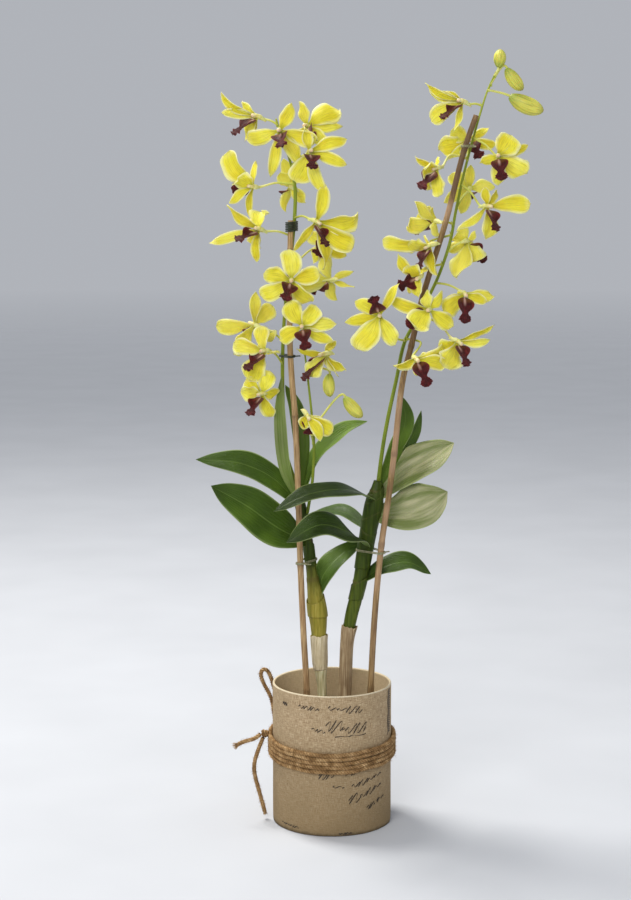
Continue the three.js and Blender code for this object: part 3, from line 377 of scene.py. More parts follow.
def bezier_heading(start, middle, end, t):
    return ((middle - start) * (1 - t) + (end - middle) * t).normalized()


def arch(start, middle, end, count):
    return [bezier(start, middle, end, i / count) for i in range(count + 1)]


def on_route(points, height):
    """Where a rising row of points passes a height, straight between its points."""
    i = max(1, next((k for k, point in enumerate(points) if point[2] >= height), len(points) - 1))
    low, high = points[i - 1], points[i]
    share = (height - low[2]) / (high[2] - low[2])
    return Vector(low[:3]).lerp(Vector(high[:3]), share)


def at_height(points, height):
    """The share and the centre at which a rising smooth route passes a height."""
    route = Route(points)
    low, high = 0.0, 1.0
    for _ in range(30):
        middle = (low + high) / 2
        if route.at(middle).z < height:
            low = middle
        else:
            high = middle
    return low, route.at(low)


def frames(centres):
    """The way ahead and two sides at each point of a line, without twist."""
    found = []
    side = None
    for i in range(len(centres)):
        ahead = (centres[min(i + 1, len(centres) - 1)] - centres[max(i - 1, 0)]).normalized()
        if side is None:
            side = Vector((1, 0, 0)) if abs(ahead.z) > 0.9 else UP
        side = (side - ahead * side.dot(ahead)).normalized()
        found.append((ahead, side, ahead.cross(side)))
    return found


def swung(centre, side, other, angle, reach=1):
    """A point at an angle and a distance from a centre, in the plane of two sides."""
    return centre + side * (reach * math.cos(angle)) + other * (reach * math.sin(angle))


def polar(radius, angle, height):
    return Vector((radius * math.cos(angle), radius * math.sin(angle), height))


def sides_of(along, face):
    """The ways across a blade and out of it, for the way along it and the side it shows."""
    across = face.cross(along).normalized()
    return across, along.cross(across)


def rounding(share, start, power, roundness=0.5):
    """How the width of a blade falls off from a start toward its tip."""
    return max(0.0, 1 - max(0.0, (share - start) / (1 - start)) ** power) ** roundness


def level_way(start, end):
    """The level direction from one point toward another."""
    way = end - start
    way.z = 0
    return way.normalized()


def ripple(scale, angle, height):
    """Smooth noise round an axis, without a seam."""
    return noise.noise(polar(scale, angle, height))


def picked(value, *place):
    """A value that may be given as a function of its place."""
    return value(*place) if callable(value) else value


# Meshes. Each vertex keeps four numbers for its material: how far along its blade or stem it is,
# how far across or round it, the tone of the one it belongs to, and which face it is on. On a stem
# the last one marks its joints, and on twine the outer side of each ply.

FACTS = ("along", "across", "tone", "face")


class Shape:
    """Points and faces on their way to becoming one piece."""

    def __init__(self):
        self.points = []
        self.facts = []
        self.faces = []

    def point(self, place, *facts):
        self.points.append(place * MM)
        self.facts.append(facts)

    def join_rings(self, first, rings, sides):
        """Faces between rings of points, and one across each end."""
        last = first + (rings - 1) * sides
        for start in range(first, last, sides):
            for k in range(sides):
                a, b = start + k, start + (k + 1) % sides
                self.faces.append((a, b, b + sides, a + sides))
        self.faces.append(tuple(range(first + sides - 1, first - 1, -1)))
        self.faces.append(tuple(range(last, last + sides)))

    def piece(self, name, material, nodes=(), slot=None):
        mesh = bpy.data.meshes.new(name)
        mesh.from_pydata(self.points, [], self.faces)
        for i, fact in enumerate(FACTS):
            layer = mesh.attributes.new(fact, "FLOAT", "POINT")
            layer.data.foreach_set("value", [row[i] for row in self.facts])
        mesh.polygons.foreach_set("use_smooth", [True] * len(mesh.polygons))
        mesh.materials.append(material)
        piece = bpy.data.objects.new(name, mesh)
        bpy.context.collection.objects.link(piece)
        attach(piece, BODY)
        if nodes:
            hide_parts(*nodes)
        return piece


def tube(shape, centres, radius, sides, tone=0.0, face=1.0):
    """A closed round skin along centres. Its radius may be a function of share and turn, both from
    0 to 1, and its tone and face may be functions of share."""
    first = len(shape.points)
    last = len(centres) - 1
    for i, (centre, (_, side, other)) in enumerate(zip(centres, frames(centres))):
        share = i / last
        for k in range(sides):
            turn = k / sides
            spot = swung(centre, side, other, TURN * turn, picked(radius, share, turn))
            shape.point(spot, share, turn, picked(tone, share), picked(face, share))
    shape.join_rings(first, last + 1, sides)


def skin(shape, grid, thickness, tone=0.0):
    """A closed thin blade on a grid of points, along and then across, thinner at its edges."""
    rows, columns = len(grid), len(grid[0])
    first = len(shape.points)
    for face in (1.0, -1.0):
        for i in range(rows):
            for j in range(columns):
                ahead = grid[min(i + 1, rows - 1)][j] - grid[max(i - 1, 0)][j]
                sideways = grid[i][min(j + 1, columns - 1)] - grid[i][max(j - 1, 0)]
                normal = ahead.cross(sideways).normalized()
                across = 2 * j / (columns - 1) - 1
                along = i / (rows - 1)
                half = thickness / 2 * (0.3 + 0.7 * (1 - across ** 4)) * (1 - 0.5 * along ** 3)
                shape.point(grid[i][j] + normal * (half * face), along, across, tone, face)

    def index(face, i, j):
        return first + (face * rows + i) * columns + j

    for i in range(rows - 1):
        for j in range(columns - 1):
            corners = ((i, j), (i + 1, j), (i + 1, j + 1), (i, j + 1))
            shape.faces.append(tuple(index(0, *corner) for corner in corners))
            shape.faces.append(tuple(index(1, *corner) for corner in reversed(corners)))
    border = [(i, 0) for i in range(rows - 1)] + [(rows - 1, j) for j in range(columns - 1)]
    border += [(i, columns - 1) for i in range(rows - 1, 0, -1)]
    border += [(0, j) for j in range(columns - 1, 0, -1)]
    for here, there in zip(border, border[1:] + border[:1]):
        shape.faces.append((index(1, *here), index(1, *there), index(0, *there), index(0, *here)))


def blade(shape, rows, columns, section, thickness, tone):
    """A closed blade. section(share) gives its point, its ways across and out, and a function that
    turns a place across it, from -1 to 1, into how far across and how far out the point there lies."""
    grid = []
    for i in range(rows + 1):
        spot, across, out, bend = section(i / rows)
        row = []
        for j in range(columns + 1):
            reach, lift = bend(2 * j / columns - 1)
            row.append(spot + across * reach + out * lift)
        grid.append(row)
    skin(shape, grid, thickness, tone)


def turned(shape, profile, sides, more=0.0):
    """A round skin about the pot's axis through a closed profile of radius, height and zone. It may
    be given more radius, as a function of turn and row."""
    first = len(shape.points)
    for row, (radius, height, zone) in enumerate(profile):
        for k in range(sides):
            turn = k / sides
            spot = polar(radius + picked(more, turn, row), TURN * turn, height)
            shape.point(spot, row / len(profile), turn, zone, 1.0)
    shape.join_rings(first, len(profile), sides)


# Materials. Scales are in cells per metre, and bump distances in metres.

def tint(code):
    """A web colour such as b3a283 as the linear colour that shaders take."""
    parts = [int(code[i:i + 2], 16) / 255 for i in (0, 2, 4)]
    linear = [part / 12.92 if part <= 0.04045 else ((part + 0.055) / 1.055) ** 2.4 for part in parts]
    return (*linear, 1.0)


class Value:
    """What one node of a material gives, ready for sums with others and with numbers."""

    def __init__(self, paint, socket):
        self.paint = paint
        self.socket = socket

    def __add__(self, other):
        return self.paint.math("ADD", self, other)

    def __sub__(self, other):
        return self.paint.math("SUBTRACT", self, other)

    def __mul__(self, other):
        return self.paint.math("MULTIPLY", self, other)

    def __abs__(self):
        return self.paint.math("ABSOLUTE", self)


class Paint:
    """A material in the making: short calls for its nodes, and its colour so far."""

    def __init__(self, name, **plain):
        self.material = bpy.data.materials.new(name)
        self.material.use_nodes = True
        self.tree = self.material.node_tree
        self.shader = self.tree.nodes["Principled BSDF"]
        self.color = None
        for socket, value in plain.items():
            self.shader.inputs[socket.replace("_", " ")].default_value = value

    def node(self, kind, inputs, output=0, **settings):
        made = self.tree.nodes.new("ShaderNode" + kind)
        for key, value in settings.items():
            setattr(made, key, value)
        for key, value in inputs.items():
            if isinstance(value, Value):
                self.tree.links.new(value.socket, made.inputs[key])
            else:
                made.inputs[key].default_value = value
        return Value(self, made.outputs[output])

    def fact(self, name):
        return self.node("Attribute", {}, "Fac", attribute_name=name)

    def place(self):
        return self.node("TexCoord", {}, "Object")

    def drawn_out(self, scale):
        """The place on the piece, with its height scaled, which draws a pattern out along it."""
        return self.node("Mapping", {"Vector": self.place(), "Scale": (1.0, 1.0, scale)})

    def axis(self, which):
        return self.node("SeparateXYZ", {"Vector": self.place()}, which)

    def math(self, operation, a, b=0.0):
        return self.node("Math", {0: a, 1: b}, operation=operation)

    def joined(self, x, y, z):
        return self.node("CombineXYZ", {"X": x, "Y": y, "Z": z})

    def distance(self, vector):
        return self.node("VectorMath", {0: vector}, "Value", operation="LENGTH")

    def noise(self, scale, detail=3.0, vector=None):
        inputs = {"Vector": vector or self.place(), "Scale": scale, "Detail": detail}
        return self.node("TexNoise", inputs, "Fac")

    def ramp(self, value, *stops):
        """A value carried through stops of a place and a grey or a colour."""
        made = self.tree.nodes.new("ShaderNodeValToRGB")
        elements = made.color_ramp.elements
        while len(elements) < len(stops):
            elements.new(0.5)
        for element, (place, color) in zip(elements, stops):
            element.position = place
            element.color = tint(color) if isinstance(color, str) else (color, color, color, 1)
        self.tree.links.new(value.socket, made.inputs["Fac"])
        return Value(self, made.outputs["Color"])

    def mix(self, share, a, b):
        return self.node("Mix", {0: share, 6: a, 7: b}, 2, data_type="RGBA")

    def base(self, value, *stops):
        self.color = self.ramp(value, *stops)

    def over(self, code, share, *stops):
        """A colour laid over the colour so far, by a share, or by a value carried through stops."""
        share = self.ramp(share, *stops) if stops else share
        self.color = self.mix(share, self.color, tint(code))

    def link(self, socket, value):
        self.tree.links.new(value.socket, self.shader.inputs[socket])

    def rough(self, value, *stops):
        self.link("Roughness", self.ramp(value, *stops))

    def done(self, height=None, distance=0.0, strength=1.0):
        """The material, with a bump of a height and a distance."""
        self.link("Base Color", self.color)
        if height:
            inputs = {"Height": height, "Distance": distance, "Strength": strength}
            self.link("Normal", self.node("Bump", inputs, "Normal"))
        return self.material


THREAD = math.pi / 0.0009       # threads are 0.9 mm apart


def burlap():
    """Tan woven cloth over board: threads both ways, with slubs, specks and a pale cut edge. It is
    darker low down with painted shade, dark at its foot, and lit up inside the pot with painted light."""
    paint = Paint("burlap", Roughness=0.92, Specular_IOR_Level=0.2)
    x, y, height = (paint.axis(which) for which in "XYZ")
    arc = paint.math("ARCTAN2", y, x) * (POT_RADIUS * MM)
    drift = (paint.noise(160.0, 2.0, paint.joined(arc, height, 0.0)) - 0.5) * 0.0012
    across, upward = arc + drift, height + drift
    weave = paint.math("SINE", across * THREAD) * paint.math("SINE", upward * THREAD)
    level = paint.noise(1500.0, 4.0, paint.joined(arc * 0.12, upward, 0.0))
    upright = paint.noise(1500.0, 4.0, paint.joined(across, height * 0.12, 3.0))
    threads = level + upright
    paint.base(threads * 0.5, (0.34, "8a7253"), (0.5, "b69d7b"), (0.66, "d8c5a4"))
    paint.over("9c8868", paint.noise(28.0), (0.35, 0.0), (0.7, 0.45))
    paint.over("5d4c33", paint.noise(900.0, 1.0), (0.66, 0.0), (0.72, 0.5))
    # painted shade: the cloth darker toward the bottom of the pot, where less light falls
    paint.over("86714f", height, (0.0, 0.8), (0.11, 0.0))
    paint.over("ded3b8", paint.fact("tone"), (0.55, 0.0), (0.8, 0.75))
    paint.over("4a3f30", height + drift * 3.0, (0.001, 0.9), (0.0026, 0.0))
    # painted light: the inside wall of the pot lighter, where light falls in over the rim
    radius = paint.distance(paint.joined(x, y, 0.0))
    inward = paint.math("LESS_THAN", radius, (POT_RADIUS - POT_WALL / 2) * MM)
    paint.over("f0d9ae", inward * 0.5)
    return paint.done(weave * 0.25 + threads, 0.0008, 0.8)


def ink():
    paint = Paint("ink", Roughness=0.7)
    paint.base(paint.noise(700.0, 2.0), (0.35, "1c140d"), (0.62, "33271b"), (0.78, "6d5a44"))
    return paint.done()


def plastic(name, scale, detail, colors, roughness):
    """Plain plastic with scuffs that change its colour and its gloss."""
    paint = Paint(name, Specular_IOR_Level=0.4)
    scuffs = paint.noise(scale, detail)
    paint.base(scuffs, *colors)
    paint.rough(scuffs, *roughness)
    return paint.done(scuffs, 0.0002)


def tie_plastic(name, dark, light):
    return plastic(name, 420.0, 2.0, ((0.35, dark), (0.7, light)), ((0.3, 0.4), (0.7, 0.65)))


def bark():
    paint = Paint("bark", Roughness=0.9)
    grain = paint.noise(260.0, 6.0, paint.drawn_out(0.3))
    shade = grain * 0.6 + paint.fact("tone") * 0.4
    paint.base(shade, (0.25, "24160d"), (0.5, "52351f"), (0.75, "84603c"))
    return paint.done(grain, 0.0012)


def jute():
    """Rough brown plant fibre, with painted shade in the grooves between its plies."""
    paint = Paint("jute", Roughness=0.95, Specular_IOR_Level=0.15)
    fibres = paint.noise(1500.0)
    shade = fibres * 0.55 + paint.noise(170.0, 2.0) * 0.45
    paint.base(shade, (0.32, "5a4229"), (0.5, "9c794f"), (0.66, "d8b888"))
    # painted shade: darker where a ply turns into the grooves between plies
    paint.over("3f2b18", paint.fact("face"), (0.1, 0.85), (0.7, 0.0))
    return paint.done(fibres, 0.0006)


def bamboo():
    """Long fibres, blotches and dark joints. The right stake is browner and banded, partly as
    weathering and partly as painted shade.
    """
    paint = Paint("bamboo", Specular_IOR_Level=0.4)
    fibres = paint.noise(1400.0, 3.0, paint.drawn_out(0.035))
    blotches = paint.noise(60.0, 2.0, paint.drawn_out(0.3))
    fresh = paint.ramp(fibres, (0.3, "6f5532"), (0.52, "a8885c"), (0.75, "d4b988"))
    # the right stake's browner copy of the colour: partly weathering, partly painted shade
    old_and_shaded = paint.ramp(fibres, (0.3, "57401f"), (0.52, "82663a"), (0.72, "ad8f5c"))
    height = paint.axis("Z")
    upper = paint.ramp(height + blotches * 0.12, (0.12, 0.5), (0.5, 1.0))
    # where the right stake is browner and banded, fuller toward its top: partly weathering, partly painted
    # shade
    weathered_and_shaded = upper * paint.ramp(paint.axis("X"), (0.02, 0.0), (0.05, 1.0))
    paint.color = paint.mix(weathered_and_shaded, fresh, old_and_shaded)
    paint.over("8d6748", blotches, (0.42, 0.0), (0.7, 0.4))
    bands = paint.noise(17.0, 1.0, paint.joined(0.03, 0.03, height))
    paint.over("5a3f2b", paint.ramp(bands, (0.48, 0.0), (0.56, 0.7)) * weathered_and_shaded)
    paint.over("c09c7e", paint.ramp(bands, (0.4, 0.5), (0.47, 0.0)) * weathered_and_shaded)
    paint.over("4a3221", paint.fact("face") * 0.6)
    paint.rough(fibres, (0.3, 0.6), (0.7, 0.42))
    return paint.done(fibres, 0.0004)


def leaf_green():
    """Satin upper face with long veins, a paler face below, painted highlights on its edges, and,
    where tone is over 1, an olive tint with silvery bands of painted sheen.
    """
    paint = Paint("leaf_green", Specular_IOR_Level=0.14, Coat_Weight=0.06, Coat_Roughness=0.18,
                  Subsurface_Weight=0.12, Subsurface_Radius=(0.6, 1.0, 0.2), Subsurface_Scale=0.001)
    along, across, tone, face = map(paint.fact, FACTS)
    wander = paint.noise(22.0, 2.0)
    veins = paint.math("SINE", across * 44.0 + wander * 6.0)
    fine = paint.noise(3.0, 4.0, paint.joined(across * 30.0, along * 3.0, tone))
    paint.base(wander * 0.7 + tone * 0.3, (0.25, "22320a"), (0.5, "3c5412"), (0.75, "668228"))
    paint.over("6d8a42", fine, (0.45, 0.0), (0.75, 0.25))
    paint.over("86a050", abs(across), (0.0, 0.3), (0.05, 0.0))
    # painted sheen: silvery bands on leaves of tone over 1, where their gloss would reflect the light, on an
    # olive tint
    bands = paint.noise(2.0, 3.0, paint.joined(across * 1.6, along * 0.9, tone))
    painted_sheen = paint.ramp(bands, (0.36, 0.15), (0.68, 0.95)) * paint.ramp(along, (0.05, 0.4), (0.4, 1.0))
    sheen_leaves = paint.ramp(tone - 1.0, (0.0, 0.0), (0.5, 0.85))
    paint.over("5b6330", sheen_leaves * 0.7)
    paint.over("bfba94", painted_sheen * sheen_leaves)
    # painted highlight: the edges of the blade lighter, where they catch the light
    paint.over("a9b878", abs(across), (0.9, 0.0), (1.0, 0.6))
    paint.over("7d9350", face * -1.0, (0.0, 0.0), (0.2, 0.7))
    paint.rough(fine, (0.3, 0.3), (0.8, 0.5))
    return paint.done(veins * 0.3 + fine, 0.0005, 0.6)


def cane_skin(name, lower):
    """Smooth green cane, in a lower colour of its own up to mid height, and cream toward its foot."""
    paint = Paint(name, Specular_IOR_Level=0.18, Subsurface_Weight=0.05, Subsurface_Scale=0.001)
    grooves = paint.noise(420.0, 4.0, paint.drawn_out(0.06))
    wander = paint.noise(60.0)
    trios = (("2c3a0e", "38480f", "485a18"), lower, ("9a8e66", "c0b78c", "ded8b4"))
    upper, middle, foot = (paint.ramp(grooves, *zip((0.3, 0.52, 0.74), trio)) for trio in trios)
    rise = (paint.axis("Z") + (wander - 0.5) * 0.03) * 2.0
    paint.color = paint.mix(paint.ramp(rise, (0.43, 1.0), (0.52, 0.0)), upper, middle)
    paint.color = paint.mix(paint.ramp(rise, (0.3, 1.0), (0.36, 0.0)), paint.color, foot)
    paint.over("5b4a2a", paint.fact("face") * 0.6)
    paint.rough(wander, (0.3, 0.4), (0.7, 0.6))
    return paint.done(grooves, 0.0003)


def dry_sheath(name, dark, middle, light):
    """A papery husk with long fibres."""
    paint = Paint(name, Roughness=0.8, Specular_IOR_Level=0.25)
    fibres = paint.noise(700.0, 5.0, paint.drawn_out(0.05))
    paint.base(fibres, (0.3, dark), (0.5, middle), (0.7, light))
    paint.over(dark, paint.noise(90.0), (0.45, 0.0), (0.7, 0.5))
    return paint.done(fibres, 0.0008)


def tepal_yellow():
    """Satin yellow with golden patches, fine veins, pale edges, an olive base and a duller back."""
    paint = Paint("tepal_yellow", Specular_IOR_Level=0.25,
                  Subsurface_Weight=0.35, Subsurface_Radius=(1.0, 0.8, 0.15), Subsurface_Scale=0.0016)
    along, across, tone, face = map(paint.fact, FACTS)
    wander = paint.noise(120.0)
    streaks = paint.noise(2.2, 4.0, paint.joined(across * 9.0, along * 1.3, tone))
    paint.base(wander * 0.5 + tone * 0.5, (0.2, "e4d62e"), (0.5, "f4ea46"), (0.8, "f9f26c"))
    paint.over("e6d332", paint.noise(48.0, 2.0), (0.46, 0.0), (0.66, 0.5))
    paint.over("a89f28", streaks, (0.45, 0.0), (0.72, 0.62))
    paint.over("f8f4bc", abs(across), (0.66, 0.0), (0.96, 0.85))
    paint.over("f4efb0", along, (0.8, 0.0), (1.0, 0.5))
    paint.over("9fa62c", along, (0.02, 0.75), (0.26, 0.0))
    paint.over("dfd96c", face * -1.0, (0.0, 0.0), (0.2, 0.4))
    paint.rough(streaks, (0.3, 0.4), (0.8, 0.6))
    return paint.done(streaks + wander * 0.4, 0.0012, 0.7)


def stem_green():
    """Spikes and pedicels: green below, yellow-green where a bloom sits."""
    paint = Paint("stem_green", Roughness=0.5, Specular_IOR_Level=0.2,
                  Subsurface_Weight=0.15, Subsurface_Scale=0.001)
    wander = paint.noise(160.0, 3.0, paint.drawn_out(0.25))
    shade = wander * 0.35 + paint.fact("tone")
    paint.base(shade, (0.1, "56691c"), (0.35, "86942e"), (0.58, "c4c65c"), (0.85, "e6e29c"))
    return paint.done(wander, 0.0004)


def column_cream():
    paint = Paint("column_cream", Roughness=0.45, Subsurface_Weight=0.25, Subsurface_Scale=0.001)
    wander = paint.noise(320.0, 2.0)
    paint.base(paint.fact("along"), (0.0, "cfc955"), (0.35, "e2da78"), (0.8, "ebe2ae"), (1.0, "dcbf98"))
    paint.over("b88668", wander, (0.5, 0.0), (0.72, 0.5))
    return paint.done(wander, 0.0003)


def lip_maroon():
    """Velvety dark maroon with veins, an ochre base, a pale stripe in the throat and redder edges."""
    paint = Paint("lip_maroon", Specular_IOR_Level=0.2, Sheen_Weight=0.1, Sheen_Roughness=0.4,
                  Subsurface_Weight=0.1, Subsurface_Scale=0.0008)
    along, across, tone = map(paint.fact, FACTS[:3])
    wander = paint.noise(260.0)
    veins = paint.noise(2.6, 4.0, paint.joined(across * 8.0, along * 1.5, tone))
    paint.base(wander * 0.5 + veins * 0.5, (0.3, "260505"), (0.52, "4c1012"), (0.72, "7a2828"))
    grown = along + veins * 0.1
    paint.over("7d5526", grown, (0.1, 0.75), (0.26, 0.0))
    inside = paint.ramp(abs(across), (0.06, 1.0), (0.24, 0.0))
    paint.over("dcb2a2", paint.ramp(grown, (0.1, 0.9), (0.36, 0.0)) * inside)
    paint.over("8f3433", abs(across), (0.8, 0.0), (1.0, 0.45))
    paint.rough(wander, (0.3, 0.45), (0.7, 0.65))
    return paint.done(veins, 0.0007)


def bud_green():
    paint = Paint("bud_green", Roughness=0.45, Subsurface_Weight=0.2, Subsurface_Scale=0.0015)
    along, across, tone = map(paint.fact, FACTS[:3])
    streaks = paint.noise(2.0, 3.0, paint.joined(across * 16.0, along, tone))
    paint.base(along, (0.0, "9aa844"), (0.35, "ccc74a"), (0.8, "dad45a"), (1.0, "b2ae48"))
    paint.over("7f8c32", streaks, (0.46, 0.0), (0.7, 0.65))
    return paint.done(streaks, 0.0005)


# Twine. Its loose ends are drawn fuller than in the model, and its wraps as one more, thinner turn.

TWINE_DIAMETER = 4.4
TWINE_TURNS = 5
TWINE_PITCH = 4.25
LOOP_DIAMETER = 4.2
TAIL_DIAMETER = 4.4
PLIES = 3
PLY_SIDES = 8
PLY_OFFSET = 0.24               # from the middle of the twine, as a share of its diameter
PLY_RADIUS = 0.265              # the same
TWINE_STEP = 1.2                # between points of a free end's path
TWINE_EASING = 10               # rounds of smoothing, so that no bend is tighter than twine can take
RING_STEPS = 300
KNOT_STEPS = 90
KNOT_DIAMETER = 3.4
FRAYED_FIBRES = 60

# Loose twine: piece, node, route, diameter, far end, lay, and the spread and length of a frayed tip
LOOSE_TWINE = [
    ("bow_loop", "twine_bow_loop", BOW_LOOP, LOOP_DIAMETER, "object", "loose", 0, 0),
    ("short_tail", "twine_tail_short", SHORT_TAIL, TAIL_DIAMETER, "bare", "loose", 4.2, 5.0),
    ("long_tail", "twine_tail_long", LONG_TAIL, TAIL_DIAMETER, "bare", "hanging", 2.2, 3.5),
]


def rope(shape, path, diameter, lay, tone=0.5):
    """Plies twisted about a path of close points; lay is the length of one full twist."""
    walked = [0.0]
    for a, b in zip(path, path[1:]):
        walked.append(walked[-1] + (b - a).length)
    turns = max(1, round(walked[-1] / lay))
    around = frames(path)
    for ply in range(PLIES):
        centres = []
        for spot, (_, side, other), far in zip(path, around, walked):
            angle = TURN * (turns * far / walked[-1] + ply / PLIES)
            centres.append(swung(spot, side, other, angle, diameter * PLY_OFFSET))
        first = len(shape.points)
        tube(shape, centres, diameter * PLY_RADIUS, PLY_SIDES, tone + 0.1 * ply)
        for k in range(first, len(shape.points)):
            row = (k - first) // PLY_SIDES
            outward = (shape.points[k] / MM - centres[row]).normalized()
            crown = outward.dot((centres[row] - path[row]).normalized())
            shape.facts[k] = (*shape.facts[k][:3], crown)


def hairs(shape, path, radius, count, length, rng):
    """Loose fibres that stand off a rope, each a thin bent three-sided strand."""
    around = frames(path)
    for _ in range(count):
        i = rng.randrange(1, len(path) - 1)
        ahead, side, other = around[i]
        out = swung(ORIGIN, side, other, rng.uniform(0, TURN))
        lean = ahead * rng.choice((-1, 1)) * rng.uniform(0.6, 1.8)
        foot = path[i] + out * (radius * 0.85)
        size = length * rng.uniform(0.4, 1.0)
        tip = foot + (out * rng.uniform(0.35, 1.0) + lean).normalized() * size
        middle = foot.lerp(tip, 0.5) + out * (size * rng.uniform(0.0, 0.25))
        line = arch(foot, middle, tip, 3)
        tube(shape, line, lambda share, turn: 0.11 * (1 - 0.6 * share), 3, rng.random())


def frayed_end(shape, path, radius, spread, length, rng):
    """The untwisted fibres at a cut end, which fan out past it."""
    ahead, side, other = frames(path)[-1]
    for _ in range(FRAYED_FIBRES):
        out = swung(ORIGIN, side, other, rng.uniform(0, TURN))
        reach = math.sqrt(rng.random())
        foot = path[-1] - ahead * rng.uniform(1.0, 3.0) + out * (radius * 0.7 * reach)
        tip = path[-1] + ahead * (length * rng.uniform(0.5, 1.0)) + out * (spread * reach)
        middle = foot.lerp(tip, 0.5) - out * (spread * 0.2 * reach)
        line = arch(foot, middle, tip, 4)
        tube(shape, line, lambda share, turn: 0.2 * (1 - 0.5 * share), 4, rng.random())


def loose_twine(name, node, points, diameter, far_end, lay, spread, tip, jute_paint, rng):
    """One free end or loop of the twine, with its fibres riding on it."""
    path = Route(points).even_line(TWINE_STEP)
    for _ in range(TWINE_EASING):
        eased = [(a + b * 2 + c) / 4 for a, b, c in zip(path, path[1:], path[2:])]
        path = [path[0]] + eased + [path[-1]]
    shape = Shape()
    rope(shape, path, diameter, 8)
    if tip:
        frayed_end(shape, path, diameter / 2, spread, tip, rng)
    piece = shape.piece(name, jute_paint, (node,), "jute")
    fibres = Shape()
    hairs(fibres, path, diameter / 2, len(path) * 3, 4.0, rng)
    tuft = fibres.piece(name + "_fibres", jute_paint, slot="jute")
    if tip:
        path = path + [path[-1] + (path[-1] - path[-2]).normalized() * tip]
    length = length_of(path)
    tuple(path[0] * MM)
    [tuple(spot * MM) for spot in path]


def twine_ring(level):
    """One turn round the pot, a little uneven, from the knot all the way round to it."""
    foot = TWINE_HEIGHT - TWINE_TURNS * TWINE_PITCH / 2
    path = []
    for i in range(RING_STEPS + 1):
        angle = math.pi + TURN * i / RING_STEPS
        fade = math.sin(math.pi * i / RING_STEPS) ** 0.5
        shared = ripple(1.9, angle, 4.0)
        own = ripple(2.6, angle, level * 3.1)
        bulge = ripple(2.3, angle, level * 5.7 + 9)
        radius = POT_RADIUS + TWINE_DIAMETER / 2 + 0.2 + 0.35 * abs(bulge)
        height = foot + TWINE_PITCH * (level + 0.5) + (1.6 * shared + 0.9 * own) * fade
        height += TWINE_SAG * math.sin(angle)
        path.append(polar(radius, angle, height))
    return path


def wound_twine(jute_paint):
    rng = random.Random(11)
    shape = Shape()
    fibres = Shape()
    for level in range(TWINE_TURNS):
        path = twine_ring(level)
        rope(shape, path, TWINE_DIAMETER, 9, 0.2 * level)
        hairs(fibres, path, TWINE_DIAMETER / 2, 700, 4.5, rng)
    shape.piece("twine_turns", jute_paint, ("twine_wraps",), "jute")
    fibres.piece("twine_turn_fibres", jute_paint, slot="jute")


def twine_knot(jute_paint):
    """A tight overhand knot, as a trefoil of one strand."""
    shape = Shape()
    path = []
    for i in range(KNOT_STEPS + 1):
        t = TURN * i / KNOT_STEPS
        swing = 1.9 + 0.8 * math.cos(3 * t)
        bow = Vector((2.2 * math.sin(3 * t), swing * math.cos(2 * t), swing * math.sin(2 * t)))
        path.append(Vector(KNOT) + bow)
    rope(shape, path, KNOT_DIAMETER, 9)
    shape.piece("twine_overhand_knot", jute_paint, ("twine_knot",), "jute")


# Pot, liner and growing medium

POT_SEGMENTS = 160
LINER_SEGMENTS = 96
SEAM = 0.965                    # where the cloth laps over itself, as a share of a turn
SEAM_LAP = 0.05
CHIPS = 420
CHIP_ROOM = 3                   # between the chips and the inside of the liner's rim
CANE_ROOM = 10                  # from a chip's middle to a cane's
STAKE_ROOM = 7                  # the same, to a stake's


def pot_wall(burlap_paint):
    """Cloth over board: a soft foot, a rolled rim with its raw pale edge, and the lined inside."""
    outer, inner, top = POT_RADIUS, POT_RADIUS - POT_WALL, POT_HEIGHT
    profile = [(0.01, 0, 0.0), (outer - 1.4, 0, 0.0), (outer - 0.5, 0.25, 0.0), (outer - 0.1, 1.0, 0.0)]
    profile += [(outer, 1.0 + (top - 3.0) * i / 28, 0.0) for i in range(1, 28)]
    profile += [
        (outer, top - 1.6, 0.2), (outer - 0.1, top - 0.7, 0.8), (outer - 0.6, top - 0.05, 1.0),
        (outer - 1.5, top, 1.0), (inner + 0.2, top - 0.3, 1.0), (inner, top - 1.2, 0.6),
        (inner, top - 2.4, 0.1),
    ]
    profile += [(inner, top - 2.4 - (top - 2.4 - POT_FLOOR) * i / 8, 0.0) for i in range(1, 9)]
    profile.append((0.01, POT_FLOOR, 0.0))

    def uneven(turn, row):
        radius, height, _ = profile[row]
        if radius < inner - 1:
            return 0.0
        flap = 0.0
        if 0 < SEAM - turn < SEAM_LAP and radius > outer - 2:
            flap = 0.45 * max(0.0, 1 - (SEAM - turn) / SEAM_LAP)
        return 0.25 * ripple(2.5, TURN * turn, height * 0.03) - 0.25 + flap

    shape = Shape()
    turned(shape, profile, POT_SEGMENTS, uneven)
    shape.piece("pot_cloth", burlap_paint, ("pot",), "kraft_board")


def nursery_pot(plastic_paint):
    foot, floor, rim = LINER_FOOT, LINER_FOOT + LINER_WALL, LINER_FOOT + LINER_HEIGHT
    low, wide = LINER_FOOT_RADIUS, LINER_RIM_RADIUS
    inside = wide - LINER_WALL
    profile = [
        (0.01, foot, 0), (low - 1, foot, 0), (low, foot + 1, 0), (wide - 0.8, rim - 5, 0),
        (wide, rim - 4.6, 0), (wide, rim - 0.5, 0), (wide - 0.4, rim, 0), (inside + 0.3, rim, 0),
        (inside, rim - 0.6, 0), (low - LINER_WALL, floor, 0), (0.01, floor, 0),
    ]
    shape = Shape()
    turned(shape, profile, LINER_SEGMENTS)
    shape.piece("nursery_pot_shell", plastic_paint, ("nursery_pot",), "liner_plastic")


def blocky(value):
    """A sine or cosine drawn toward 1 or -1, which squares off a circle."""
    return math.copysign(abs(value) ** 0.5, value)


